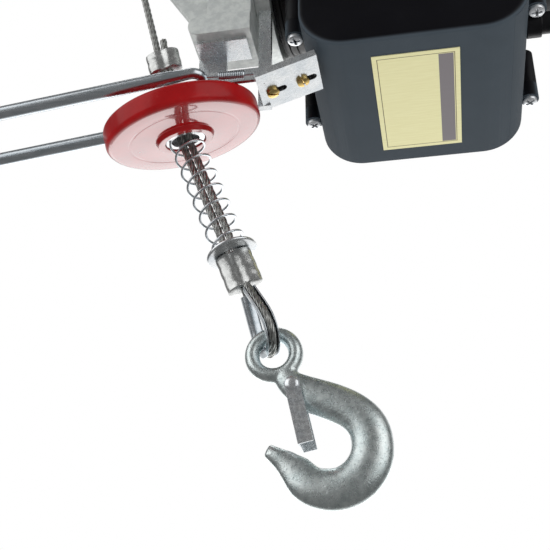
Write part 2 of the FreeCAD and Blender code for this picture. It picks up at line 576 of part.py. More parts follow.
def wound_rope():
    """Layers of rope as one ring with scalloped turns, its last turn climbing off at the exit station."""
    half_rope = size.rope_dia / 2.0
    top = size.drum_core + half_rope + (size.rope_layers - 1) * size.layer_rise
    lower = top - half_rope - 0.2
    turns = int((size.exit_x - half_rope + size.drum_half) / size.rope_dia + 0.01)
    start = size.exit_x - half_rope - turns * size.rope_dia
    points = [FreeCAD.Vector(-size.drum_half, 0, size.drum_core), FreeCAD.Vector(-size.drum_half, 0, top)]
    edges = []
    for index in range(turns):
        left = start + index * size.rope_dia
        a = FreeCAD.Vector(left, 0, top)
        m = FreeCAD.Vector(left + half_rope, 0, top + half_rope * 0.9)
        b = FreeCAD.Vector(left + size.rope_dia, 0, top)
        edges.append(Part.Arc(a, m, b).toShape())
    last = FreeCAD.Vector(start + turns * size.rope_dia, 0, top)
    low = FreeCAD.Vector(last.x, 0, lower)
    far = FreeCAD.Vector(size.drum_half, 0, lower)
    far_core = FreeCAD.Vector(size.drum_half, 0, size.drum_core)
    first = FreeCAD.Vector(start, 0, top)
    line = lambda p, q: Part.LineSegment(p, q).toShape()
    outline_edges = [line(points[0], points[1])]
    if (first - points[1]).Length > 0.001:
        outline_edges.append(line(points[1], first))
    outline_edges += edges + [line(last, low), line(low, far), line(far, far_core), line(far_core, points[0])]
    face = Part.Face(Part.Wire(outline_edges))
    solid = face.revolve(FreeCAD.Vector(), FreeCAD.Vector(1, 0, 0), 360)
    turn = Part.makeTorus(top, half_rope, FreeCAD.Vector(size.exit_x, 0, 0), FreeCAD.Vector(1, 0, 0))
    gap = Part.makeBox(size.rope_dia * 2, top * 2, top * 2,
                       FreeCAD.Vector(size.exit_x - size.rope_dia, -top * 2, -top * 2))
    return solid.fuse(turn.cut(gap))


clamp_block = block("flange_wall", "14", "8", "-drum_half - flange_wall * 2", "-7",
                    "drum_rise + drum_core + 6")
clamp_screw = bar_x("2.5", "-drum_half - flange_wall * 2 - 1.5", "1.5", "0", "drum_rise + drum_core + 10")
keep(join(clamp_block, clamp_screw), "rope_clamp")
rope_radius = size.drum_core + size.rope_dia / 2.0 + (size.rope_layers - 1) * size.layer_rise
rope_y = -rope_radius
feature_solid("rope_winding", wound_rope(), on_shaft(0, 0, size.drum_rise, 0))

# Control box: body with blind bosses on the motor, and a cover with rounded lower corners and four lugs.
lug_back = "box_depth - box_front - lug_inset"


def box_profile(body, name, low, high, offset):
    """Upright section of the box, padded from front to rear."""
    drawing = flat_sketch(body, "XZ_Plane", name, offset)
    rectangle(drawing, (1, "box_x"), (1, "box_x + box_width"), (-1, low), (-1, high))
    return drawing


box_cover = new_body("box_cover")
cover_outline = box_profile(box_cover, "cover_outline", "box_drop", "box_split", "box_front")
cover_pad = pad(box_cover, cover_outline, "box_depth", "cover_block")
cover_pad.Reversed = True
doc.recompute()
low_edges = edges_where(cover_pad.Shape, lambda edge: edge.Curve.TypeId == "Part::GeomLine"
                        and abs(edge.Curve.Direction.y) > 0.9 and edge.CenterOfMass.z < -size.box_split - 5)
corner = box_cover.newObject("PartDesign::Fillet", "cover_corners")
corner.Base = (cover_pad, low_edges)
bind(corner, "Radius", "box_round")
doc.recompute()


def outline_edge(edge):
    """True for the edges of the front and rear ends below the split."""
    centre = edge.CenterOfMass
    at_end = abs(centre.y + size.box_front) < 0.01 or abs(centre.y + size.box_front - size.box_depth) < 0.01
    return at_end and centre.z < -size.box_split - 0.5


end_edges = edges_where(corner.Shape, outline_edge)
ends = box_cover.newObject("PartDesign::Fillet", "cover_ends")
ends.Base = (corner, end_edges)
bind(ends, "Radius", "box_edge")
doc.recompute()
inside = flat_sketch(box_cover, "XZ_Plane", "cover_inside", "box_front - box_wall")
rectangle(inside, (1, "box_x + box_wall"), (1, "box_x + box_width - box_wall"),
          (-1, "box_drop - box_wall * 3"), (-1, "box_split - 1"))
hollow = box_cover.newObject("PartDesign::Pocket", "cover_hollow")
hollow.Profile = inside
bind(hollow, "Length", "box_depth - box_wall * 2")
doc.recompute()
lug_sketch = flat_sketch(box_cover, "XY_Plane", "cover_lugs", "-box_split - lug_height")
for across in (("box_x - lug_out", 1), ("box_x + box_width + lug_out", 1)):
    for along in ((-1, "lug_front"), (1, lug_back)):
        circle(lug_sketch, "lug_radius", (1, across[0]), along)
pad(box_cover, lug_sketch, "lug_height", "cover_lug_pads")

box_body = new_body("box_body")
body_outline = box_profile(box_body, "body_outline", "box_split", "box_top", "box_front")
body_pad = pad(box_body, body_outline, "box_depth", "body_block")
body_pad.Reversed = True
body_inside = flat_sketch(box_body, "XZ_Plane", "body_inside", "box_front - box_wall")
rectangle(body_inside, (1, "box_x + box_wall"), (1, "box_x + box_width - box_wall"),
          (-1, "box_split + 1"), (-1, "box_top - 1"))
body_hollow = box_body.newObject("PartDesign::Pocket", "body_hollow")
body_hollow.Profile = body_inside
bind(body_hollow, "Length", "box_depth - box_wall * 2")
tower_sketch = flat_sketch(box_body, "XY_Plane", "body_towers", "-box_split")
for across in ("box_x - lug_out", "box_x + box_width + lug_out"):
    for along in ((-1, "lug_front"), (1, lug_back)):
        circle(tower_sketch, "lug_radius", (1, across), along)
pad(box_body, tower_sketch, "lug_tower", "body_tower_pads")
saddle = flat_sketch(box_body, "YZ_Plane", "body_saddle", "box_x - lug_out - lug_radius * 2")
circle(saddle, "motor_outer")
pocket(box_body, saddle, "box_width + lug_out * 2 + lug_radius * 4", "body_saddle_cut")

screws = []
for across in ("box_x - lug_out", "box_x + box_width + lug_out"):
    for along in ("-lug_front", lug_back):
        dome = doc.addObject("Part::Sphere", "screw_dome")
        bind(dome, "Radius", "screw_radius")
        place(dome, across, along, "-box_split - lug_height")
        left = "%s - screw_radius" % across
        near = "%s - screw_radius" % along
        lower = block("screw_radius * 2", "screw_radius * 2", "screw_radius", left, near,
                      "-box_split - lug_height - screw_head - screw_radius")
        upper = block("screw_radius * 2", "screw_radius * 2", "screw_radius * 2", left, near,
                      "-box_split - lug_height")
        screws.append(cut(dome, lower, upper))
keep(join(*screws), "box_screws")
keep(block("label_width", "label_length", "label_wall", "label_x", "-box_front + 14",
           "-box_drop - label_wall"), "label_plate")
gland = join(bar_x("gland_radius", "box_x + box_width", "gland_length / 2", "-gland_front", "-gland_drop"),
             bar_x("gland_radius - 1.5", "box_x + box_width", "gland_length", "-gland_front", "-gland_drop"))
keep(cut(gland, bar_x("gland_bore", "box_x + box_width + 1", "gland_length", "-gland_front", "-gland_drop")),
     "cable_gland")
keep(bar_y("9", "-box_front + box_depth / 4", "box_depth / 2", "box_x + box_width * 0.66",
           "-box_drop + box_wall * 3 + 9.3"), "capacitor")

# Limit device: U lever of round rod on a bracket, its tail over the switch, the switch on a slotted plate.
lever_mid = rope_y


def rod_path(points, bend):
    """Wire of straight runs joined by tangent arcs of one radius."""
    edges = []
    start = points[0]
    for index in range(1, len(points) - 1):
        before, here, after = points[index - 1], points[index], points[index + 1]
        come = (before - here).normalize()
        go = (after - here).normalize()
        half_angle = math.acos(max(-1.0, min(1.0, come.dot(go)))) / 2.0
        reach = bend / math.tan(half_angle)
        enter = here + come * reach
        leave = here + go * reach
        middle_dir = (come + go).normalize()
        centre = here + middle_dir * (bend / math.sin(half_angle))
        middle = centre - middle_dir * bend
        edges.append(Part.LineSegment(start, enter).toShape())
        edges.append(Part.Arc(enter, middle, leave).toShape())
        start = leave
    edges.append(Part.LineSegment(start, points[-1]).toShape())
    return Part.Wire(edges)


def round_tube(wire, radius):
    """Round bar along a wire, its section square to the first edge."""
    first = wire.Edges[0]
    begin = first.valueAt(first.FirstParameter)
    direction = first.tangentAt(first.FirstParameter)
    section = Part.Wire([Part.makeCircle(radius, begin, direction)])
    return wire.makePipeShell([section], True, False)


half_spread = size.lever_spread / 2.0
stub = half_spread - size.ear_tail - size.ear_wall - 1.0
lever_points = [FreeCAD.Vector(0, -stub, 0), FreeCAD.Vector(0, -half_spread, 0),
                FreeCAD.Vector(-size.lever_reach, -half_spread, 0),
                FreeCAD.Vector(-size.lever_reach, half_spread, 0),
                FreeCAD.Vector(0, half_spread, 0), FreeCAD.Vector(0, stub, 0)]
short_bend = size.lever_rod + 2.0
lever_place = FreeCAD.Placement(FreeCAD.Vector(size.pivot_x, lever_mid, -size.pivot_drop - size.axis_drop),
                                FreeCAD.Rotation(FreeCAD.Vector(0, 1, 0), -size.lever_droop))


def lever_shape():
    """Closed U of round rod whose two ends turn inwards as pivot stubs."""
    return round_tube(rod_path(lever_points, short_bend), size.lever_rod)


feature_solid("limit_lever", lever_shape(), lever_place)
pivot_z = -size.pivot_drop
ear_y = half_spread - size.ear_tail
bracket_top = -size.foot_drop - size.bracket_wall


def bracket_shape():
    """Sheet under the case foot with one ear at the rear, round a pivot stub."""
    length = size.case_length - 6.0
    width = ear_y * 2.0
    front_gap = size.ear_wall * 2.0
    top = Part.makeBox(length, width - front_gap, size.bracket_wall,
                       FreeCAD.Vector(size.case_x + 3.0, lever_mid - ear_y + front_gap, bracket_top))
    hole = Part.makeCylinder(size.lever_rod + size.shaft_play, width * 2,
                             FreeCAD.Vector(size.pivot_x, lever_mid - width, pivot_z), FreeCAD.Vector(0, 1, 0))
    ear = Part.makeBox(size.ear_width, size.ear_wall, bracket_top - pivot_z + size.ear_width / 2.0,
                       FreeCAD.Vector(size.pivot_x - size.ear_width / 2.0, lever_mid + ear_y - size.ear_wall,
                                      pivot_z - size.ear_width / 2.0))
    return top.fuse(ear.cut(hole)).removeSplitter()


tongue_place = FreeCAD.Placement(
    FreeCAD.Vector(size.tongue_x, lever_mid - half_spread, -size.tongue_drop - size.axis_drop),
    FreeCAD.Rotation(FreeCAD.Vector(0, 1, 0), -size.tongue_lean))
slot_y = size.tongue_depth * 0.55


def slot_cut(at_x):
    """Adjusting slot through the tongue, longer than its screw."""
    run = size.slot_run
    radius = size.screw_shank
    lower = Part.makeCylinder(radius, run * 2, FreeCAD.Vector(at_x, slot_y, -run))
    upper = Part.makeCylinder(radius, run * 2, FreeCAD.Vector(at_x + run, slot_y, -run))
    middle = Part.makeBox(run, radius * 2, run * 2, FreeCAD.Vector(at_x, slot_y - radius, -run))
    return lower.fuse([upper, middle])


def tongue_shape():
    """Slotted tongue with a lip in front, an arm to the near stub and a hanger to the case cover."""
    flat = Part.makeBox(size.tongue_length, size.tongue_depth, size.tongue_wall)
    lip = Part.makeBox(size.tongue_length, size.tongue_wall, size.tongue_lip)
    tongue = flat.fuse(lip).removeSplitter()
    for index in range(2):
        tongue = tongue.cut(slot_cut(size.slot_start + index * size.screw_pitch))
    tongue.Placement = FreeCAD.Placement(
        FreeCAD.Vector(size.tongue_x, lever_mid - half_spread, -size.tongue_drop),
        FreeCAD.Rotation(FreeCAD.Vector(0, 1, 0), -size.tongue_lean))
    arm_y = lever_mid - ear_y
    reach = arm_y + size.hanger_in
    arm = Part.makeBox(size.tongue_x + 4.0 - size.pivot_x, size.bracket_wall, 8.0,
                       FreeCAD.Vector(size.pivot_x, arm_y, pivot_z - 3.5))
    hanger = Part.makeBox(3.5, size.bracket_wall, size.tongue_drop - 1.0 + pivot_z,
                          FreeCAD.Vector(size.tongue_x + 0.5, arm_y, -size.tongue_drop + 1.0))
    eye = Part.makeCylinder(size.lever_rod + size.shaft_play, size.ear_width * 2,
                            FreeCAD.Vector(size.pivot_x, arm_y - size.ear_width, pivot_z),
                            FreeCAD.Vector(0, 1, 0))
    rim = Part.makeCylinder(size.cover_outer, size.motor_length, FreeCAD.Vector(cover_at, 0, 0),
                            FreeCAD.Vector(1, 0, 0))
    drop = Part.makeBox(size.hanger_width, size.hanger_wall, size.tongue_drop - size.case_outer / 2.0,
                        FreeCAD.Vector(cover_at + size.hanger_wall / 2.0, reach, -size.tongue_drop)).cut(rim)
    return tongue.fuse([arm, hanger, drop]).cut(eye)


feature_solid("lever_bracket", bracket_shape().fuse(tongue_shape()).removeSplitter())


def brass_screws():
    """Two cheese-head screws through the slots into the switch."""
    things = []
    for index in range(2):
        at_x = size.slot_start + index * size.screw_pitch
        head = Part.makeCylinder(size.brass_head, 2.4, FreeCAD.Vector(at_x, slot_y, -2.4))
        shank = Part.makeCylinder(size.screw_shank - 0.2, size.tongue_wall, FreeCAD.Vector(at_x, slot_y, 0))
        things.append(head.fuse(shank))
    return Part.makeCompound(things)


feature_solid("switch_screws", brass_screws(), tongue_place)
switch_z = size.tongue_wall
button_x = 6.0
button_y = slot_y
switch_box = Part.makeBox(size.tongue_length - 6.0, size.switch_depth, size.switch_height,
                          FreeCAD.Vector(3.0, slot_y - size.switch_depth / 2.0, switch_z))
button_hole = Part.makeCylinder(2.0 + size.shaft_play, 6.0,
                                FreeCAD.Vector(button_x, button_y, switch_z + size.switch_height - 5.0))
feature_solid("limit_switch", switch_box.cut(button_hole), tongue_place)
button = Part.makeCylinder(2.0, 4.5, FreeCAD.Vector(button_x, button_y, switch_z + size.switch_height - 2.0))
feature_solid("switch_button", button, tongue_place)
tongue_turn = FreeCAD.Rotation(FreeCAD.Vector(0, 1, 0), -size.tongue_lean)
button_top = tongue_turn.multVec(FreeCAD.Vector(button_x, button_y, switch_z + size.switch_height + 2.5))
tail_low = -size.tongue_drop + button_top.z + size.fit_gap * 3.0
tail_end = size.tongue_x + button_top.x + 3.0


def tail_shape():
    """Flat tail on the lever's stubs, reaching over the switch button."""
    width = stub * 2.0
    near = lever_mid - size.tail_width / 2.0
    arm = Part.makeBox(tail_end - size.pivot_x + 2.0, size.tail_width, size.tail_wall,
                       FreeCAD.Vector(size.pivot_x - 2.0, near, tail_low))
    riser = Part.makeBox(4.0, size.tail_width, tail_low - pivot_z,
                         FreeCAD.Vector(size.pivot_x - 2.0, near, pivot_z))
    clasp = Part.makeCylinder(size.lever_rod + 2.2, width,
                              FreeCAD.Vector(size.pivot_x, lever_mid - stub, pivot_z), FreeCAD.Vector(0, 1, 0))
    return clasp.fuse([arm, riser]).removeSplitter()


feature_solid("lever_tail", tail_shape())


def tension_spring():
    """Close-wound tension spring from the near pivot stub to the plate's lip."""
    begin = FreeCAD.Vector(size.pivot_x + size.lever_rod + 0.3, lever_mid - half_spread + 2.6, pivot_z - 2.0)
    end = FreeCAD.Vector(size.tongue_x + 0.5, lever_mid - half_spread + 2.6, -size.tongue_drop + 4.5)
    along = (end - begin).normalize()
    total = (end - begin).Length
    turns = 14
    pitch = 1.0
    first = (total - turns * pitch) / 2.0
    edges = []
    radius = size.screw_shank
    wire_radius = pitch / 2.0
    at = lambda u, v: FreeCAD.Vector(u, 0, v)
    line = lambda a, b: Part.LineSegment(a, b).toShape()
    edges.append(line(at(0, 0), at(0, wire_radius)))
    edges.append(line(at(0, wire_radius), at(first, wire_radius)))
    edges.append(line(at(first, wire_radius), at(first, radius)))
    for index in range(turns):
        left = first + index * pitch
        edges.append(line(at(left, radius), at(left + wire_radius, radius + wire_radius)))
        edges.append(line(at(left + wire_radius, radius + wire_radius), at(left + pitch, radius)))
    last = first + turns * pitch
    edges.append(line(at(last, radius), at(last, wire_radius)))
    edges.append(line(at(last, wire_radius), at(total, wire_radius)))
    edges.append(line(at(total, wire_radius), at(total, 0)))
    edges.append(line(at(total, 0), at(0, 0)))
    solid = Part.Face(Part.Wire(edges)).revolve(FreeCAD.Vector(), FreeCAD.Vector(1, 0, 0), 360)
    solid.Placement = FreeCAD.Placement(begin, FreeCAD.Rotation(FreeCAD.Vector(1, 0, 0), along))
    return solid


feature_solid("lever_spring", tension_spring())

# Rope end: everything below hangs along the lower line, which starts at the centre of the red disc.
disc_at = FreeCAD.Vector(size.disc_x, rope_y, -size.disc_drop)
upper_angle = math.radians(size.upper_lean)
lower_angle = math.radians(size.lower_lean)
up_line = FreeCAD.Vector(-math.sin(upper_angle), 0, math.cos(upper_angle))
up_side = FreeCAD.Vector(math.cos(upper_angle), 0, math.sin(upper_angle))
down_line = FreeCAD.Vector(math.sin(lower_angle), 0, -math.cos(lower_angle))
down_side = FreeCAD.Vector(math.cos(lower_angle), 0, math.sin(lower_angle))
line_place = FreeCAD.Placement(FreeCAD.Vector(disc_at.x, disc_at.y, disc_at.z - size.axis_drop),
                               FreeCAD.Rotation(FreeCAD.Vector(0, 1, 0), -size.lower_lean))
splice_place = FreeCAD.Placement(FreeCAD.Vector(disc_at.x, disc_at.y, disc_at.z - size.axis_drop),
                                 FreeCAD.Rotation(FreeCAD.Vector(0, 1, 0), -size.upper_lean))
rope_half = size.rope_dia / 2.0
ferrule_top = size.washer_at + size.washer_wall
ferrule_end = ferrule_top + size.ferrule_length

# Falling rope from the drum's front down to the upper ferrule.
drop_end = disc_at + up_line * (size.splice_up + size.splice_length / 2.0) + up_side * size.pair_offset
drop_run = (size.drum_rise - drop_end.z) / math.cos(upper_angle)
drop_start = drop_end + up_line * drop_run
fall = Part.makeCylinder(rope_half, drop_run, drop_end, up_line)
feature_solid("falling_rope", fall)

# Rope pair through the disc and the spring, with the cut tail above the ferrule.
pair = []
for side in (-1, 1):
    top = disc_at + up_line * (size.splice_up - size.splice_length / 2.0)
    top += up_side * (side * size.pair_offset)
    middle = disc_at + (up_side + down_side) * (side * size.pair_offset / 2.0)
    low = disc_at + down_line * ferrule_top + down_side * (side * size.pair_offset)
    pair.append(round_tube(rod_path([top, middle, low], size.pair_bend), rope_half))
tail_start = disc_at + up_line * (size.splice_up + size.splice_length / 2.0) - up_side * size.pair_offset
pair.append(Part.makeCylinder(rope_half, size.tail_length, tail_start, up_line))
feature_solid("rope_pair", Part.makeCompound(pair))


def stadium(width, depth, length, low):
    """Sleeve of figure-eight section pressed round two strands."""
    radius = depth / 2.0
    offset = width / 2.0 - radius
    lobes = [Part.makeCylinder(radius, length, FreeCAD.Vector(side * offset, 0, low)) for side in (-1, 1)]
    waist = Part.makeBox(offset * 2.0, depth * 0.84, length, FreeCAD.Vector(-offset, -depth * 0.42, low))
    return lobes[0].fuse([lobes[1], waist]).removeSplitter()


feature_solid("upper_ferrule", stadium(size.splice_width, size.splice_depth, size.splice_length,
                                       size.splice_up - size.splice_length / 2.0), splice_place)
feature_solid("lower_ferrule", stadium(size.splice_width - 0.5, size.splice_depth + 0.5, size.ferrule_length,
                                       -ferrule_end), line_place)
washer = Part.makeCylinder(size.washer_radius, size.washer_wall, FreeCAD.Vector(0, 0, -ferrule_top))
washer_hole = Part.makeCylinder(size.rope_dia + 0.6, size.washer_wall + 2,
                                FreeCAD.Vector(0, 0, -ferrule_top - 1))
feature_solid("spring_washer", washer.cut(washer_hole), line_place)

# Red disc, which lies tilted on the rope, with its metal bush.
disc_tip = FreeCAD.Rotation(FreeCAD.Vector(math.sin(math.radians(size.disc_turn)),
                                           -math.cos(math.radians(size.disc_turn)), 0), size.disc_tilt)
disc_down = disc_tip.multVec(FreeCAD.Vector(0, 0, -1))
hub_low = size.disc_height / 2.0 + size.hub_height
disc_shift = (down_line - disc_down) * hub_low
disc_place = FreeCAD.Placement(line_place.Base + disc_shift,
                               FreeCAD.Rotation(FreeCAD.Vector(0, 0, -1), disc_down))


def disc_shape():
    """Dished disc: a web with a rim, a hub ring below and a bore."""
    half = size.disc_height / 2.0
    outer = Part.makeCylinder(size.disc_radius, size.disc_height, FreeCAD.Vector(0, 0, -half))
    rim_edges = [edge for edge in outer.Edges if edge.Curve.TypeId == "Part::GeomCircle"]
    outer = outer.makeFillet(size.disc_height / 4.0, rim_edges)
    dish = Part.makeCylinder(size.disc_radius - size.disc_rim, size.disc_height - size.disc_web,
                             FreeCAD.Vector(0, 0, -half + size.disc_web))
    hub_ring = Part.makeCylinder(size.disc_hub, size.disc_height + size.hub_height - 1.0,
                                 FreeCAD.Vector(0, 0, -half - size.hub_height))
    bore = Part.makeCylinder(size.disc_bore, size.disc_height * 3,
                             FreeCAD.Vector(0, 0, -size.disc_height * 1.5))
    return outer.cut(dish).fuse(hub_ring).cut(bore).removeSplitter()


feature_solid("limit_disc", disc_shape(), disc_place)
bush = Part.makeCylinder(size.disc_bore, size.disc_web, FreeCAD.Vector(0, 0, 0))
bush_hole = Part.makeCylinder(size.bush_bore, size.disc_web + 2, FreeCAD.Vector(0, 0, -1))
feature_solid("disc_bush", bush.cut(bush_hole), disc_place)


def helix_spring(mean, wire_radius, turns, length, top):
    """Round-wire compression spring hanging down the line from the height top."""
    helix = Part.makeHelix(length / turns, length, mean)
    start = FreeCAD.Vector(mean, 0, 0)
    section = Part.Wire([Part.makeCircle(wire_radius, start, FreeCAD.Vector(0, 1, 0))])
    coil = Part.Wire(helix.Edges).makePipeShell([section], True, True)
    coil.translate(FreeCAD.Vector(0, 0, top - length))
    return coil


spring_length = size.washer_at - size.spring_top - size.spring_wire * 2.0
coils = helix_spring(size.spring_mean, size.spring_wire, size.spring_turns, spring_length,
                     -size.spring_top - size.spring_wire)
feature_solid("buffer_spring", coils, line_place)

# Rope eye and thimble: a drop-shaped loop, its plane turned a little about the line.
eye_centre = size.eye_at - size.ring_mean + size.ring_half
bar_centre = eye_centre + size.fit_gap * 5.0
loop_centre = bar_centre - size.thimble_inner
loop_place = line_place.multiply(FreeCAD.Placement(FreeCAD.Vector(),
                                                   FreeCAD.Rotation(FreeCAD.Vector(0, 0, 1),
                                                                    90.0 - size.thimble_turn)))


def drop_loop(radius, start_half, start_at):
    """Wire in the XZ plane: two straight legs from the ferrule tangent to the round end."""
    centre = FreeCAD.Vector(0, 0, -loop_centre)
    begin = FreeCAD.Vector(start_half, 0, -start_at)
    reach = (begin - centre).Length
    tilt = math.atan2(begin.x, begin.z - centre.z)
    swing = math.acos(radius / reach)
    angle = tilt + swing
    touch = centre + FreeCAD.Vector(math.sin(angle) * radius, 0, math.cos(angle) * radius)
    bottom = centre - FreeCAD.Vector(0, 0, radius)
    mirror = lambda point: FreeCAD.Vector(-point.x, point.y, point.z)
    return Part.Wire([Part.LineSegment(begin, touch).toShape(),
                      Part.Arc(touch, bottom, mirror(touch)).toShape(),
                      Part.LineSegment(mirror(touch), mirror(begin)).toShape()])


strand_radius = size.thimble_inner + size.thimble_wall + rope_half
eye_start = ferrule_end + 0.8
eye_strand = round_tube(drop_loop(strand_radius, size.pair_offset, eye_start), rope_half)
feature_solid("rope_eye", eye_strand, loop_place)


def thimble_shape():
    """Thin channel inside the rope's eye: an outer drop less the rope's groove and the inner drop."""
    width = size.rope_dia + size.thimble_wall * 2.0
    start_at = ferrule_end + 6.0
    rim = strand_radius + 0.3

    def slab(radius, deep, narrow=0.0):
        wire = drop_loop(radius, max(0.6, radius - strand_radius + 4.2 - narrow), start_at)
        closed = Part.Wire(wire.Edges + [Part.LineSegment(wire.Edges[-1].lastVertex().Point,
                                                          wire.Edges[0].firstVertex().Point).toShape()])
        solid = Part.Face(closed).extrude(FreeCAD.Vector(0, deep, 0))
        solid.translate(FreeCAD.Vector(0, -deep / 2.0, 0))
        return solid

    body = slab(rim, width)
    hollow_slab = slab(size.thimble_inner, width + 2.0)
    groove = round_tube(drop_loop(strand_radius, size.pair_offset, eye_start), rope_half + 0.01)
    return body.cut(hollow_slab).cut(groove)


thimble = thimble_shape()
feature_solid("thimble", thimble, loop_place)

# Forged hook: an eye ring, a neck and a bowl whose section swells and thins along a curved centre line.
eye_at = disc_at + down_line * size.eye_at
hook_place = FreeCAD.Placement(FreeCAD.Vector(eye_at.x, eye_at.y, eye_at.z - size.axis_drop),
                               FreeCAD.Rotation(FreeCAD.Vector(0, 1, 0), -size.hook_lean))


def hook_stations():
    """Centre points with half width and half depth: neck, bowl arc by formula, outward-turned point."""
    rows = [(0.0, -size.ring_mean - 1.0, size.neck_width * 0.9, size.neck_depth * 0.85),
            (0.5, -size.neck_drop + 2.0, size.neck_width, size.neck_depth),
            (7.0, -size.neck_drop - 9.0, size.bowl_width * 0.9, size.bowl_depth * 0.85)]
    for step in range(9):
        angle = math.radians(28.0 - step * 26.0)
        share = step / 8.0
        swell = math.sin(math.pi * min(1.0, 0.25 + share * 0.75))
        width = size.bowl_width * (0.84 + 0.16 * swell) * (1.0 - 0.32 * share ** 3)
        depth = size.bowl_depth * (0.84 + 0.16 * swell) * (1.0 - 0.45 * share ** 2)
        radius = size.bowl_radius * (1.0 - 0.1 * math.sin(math.pi * share) ** 2 * share)
        rows.append((radius * math.cos(angle), -size.bowl_drop + radius * math.sin(angle), width, depth))
    rows.append((-size.tip_side, -size.tip_drop - 4.5, 4.4, 3.2))
    rows.append((-size.tip_side - 0.4, -size.tip_drop, 1.6, 1.6))
    return rows


def hook_shape():
    """Loft of ellipses square to the centre line, joined to the eye ring."""
    rows = hook_stations()
    curve = Part.BSplineCurve()
    curve.interpolate([FreeCAD.Vector(x, 0, z) for x, z, w, d in rows])
    wires = []
    for x, z, width, depth in rows:
        point = FreeCAD.Vector(x, 0, z)
        direction = curve.tangent(curve.parameter(point))[0]
        across = direction.cross(FreeCAD.Vector(0, 1, 0)).normalize()
        major = across if width >= depth else FreeCAD.Vector(0, 1, 0)
        ellipse = Part.Ellipse(FreeCAD.Vector(), max(width, depth) + 0.001, min(width, depth))
        edge = ellipse.toShape()
        frame_turn = FreeCAD.Rotation(major, direction.cross(major), direction, "XZY")
        edge.Placement = FreeCAD.Placement(point, frame_turn)
        wires.append(Part.Wire([edge]))
    bowl = Part.makeLoft(wires, True, False)
    profile = Part.Wire([Part.Ellipse(FreeCAD.Vector(size.ring_mean, 0, 0), size.ring_depth,
                                      size.ring_half).toShape()])
    profile.rotate(FreeCAD.Vector(size.ring_mean, 0, 0), FreeCAD.Vector(0, 0, 1), 90)
    ring = Part.Face(profile).revolve(FreeCAD.Vector(), FreeCAD.Vector(0, 1, 0), 360)
    through = size.ring_mean * 2.0
    hole = Part.makeCylinder(size.ring_mean - size.ring_half, through * 2, FreeCAD.Vector(0, -through, 0),
                             FreeCAD.Vector(0, 1, 0))
    rivet_hole = Part.makeCylinder(size.rivet_radius + size.shaft_play, through * 2,
                                   FreeCAD.Vector(0, -through, -size.neck_drop), FreeCAD.Vector(0, 1, 0))
    return ring.fuse(bowl.cut(hole)).cut(rivet_hole)


feature_solid("load_hook", hook_shape(), hook_place)
rivet_half = size.neck_depth + size.fit_gap * 3.0 + size.latch_wall
rivet = Part.makeCylinder(size.rivet_radius, rivet_half * 2, FreeCAD.Vector(0, -rivet_half, -size.neck_drop),
                          FreeCAD.Vector(0, 1, 0))
rivet_heads = [Part.makeCylinder(size.rivet_radius + 1.4, 1.2, FreeCAD.Vector(0, side, -size.neck_drop),
                                 FreeCAD.Vector(0, 1, 0)) for side in (-rivet_half - 1.2, rivet_half)]
feature_solid("latch_rivet", rivet.fuse(rivet_heads), hook_place)


def latch_shape():
    """Folded safety latch: two cheeks on the rivet joined by a web on the throat side."""
    outer_half = size.neck_depth + size.fit_gap * 3.0 + size.latch_wall
    cheeks = []
    for side in (-outer_half, outer_half - size.latch_wall):
        cheek = Part.makeBox(size.latch_width, size.latch_wall, size.latch_length,
                             FreeCAD.Vector(-size.latch_width / 2.0, side, -size.latch_length))
        eyelet = Part.makeCylinder(size.latch_width / 2.0, size.latch_wall, FreeCAD.Vector(0, side, 0),
                                   FreeCAD.Vector(0, 1, 0))
        cheeks.append(cheek.fuse(eyelet))
    web = Part.makeBox(size.latch_wall, outer_half * 2, size.latch_length - size.web_start,
                       FreeCAD.Vector(-size.latch_width / 2.0, -outer_half, -size.latch_length))
    hole = Part.makeCylinder(size.rivet_radius + size.shaft_play, outer_half * 4,
                             FreeCAD.Vector(0, -outer_half * 2, 0), FreeCAD.Vector(0, 1, 0))
    return web.fuse(cheeks).cut(hole).removeSplitter()


latch_turn = FreeCAD.Rotation(FreeCAD.Vector(0, 1, 0), size.latch_lean)
latch_place = hook_place.multiply(FreeCAD.Placement(FreeCAD.Vector(0, 0, -size.neck_drop), latch_turn))
feature_solid("safety_latch", latch_shape(), latch_place)

# Check every object, then write one file for each sub-part.
doc.recompute()
for item in doc.Objects:
    if "Invalid" in item.State or "Error" in item.State:
        raise ValueError("%s (%s) failed: %s" % (item.Name, item.Label, item.State))
os.makedirs("parts", exist_ok=True)
for item in parts:
    if item.Shape.isNull() or not item.Shape.isValid():
        raise ValueError("%s has no valid shape" % item.Label)
    item.Shape.exportStep(os.path.join("parts", item.Label + ".step"))
print("%d sub-parts written" % len(parts))
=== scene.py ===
import json
import math

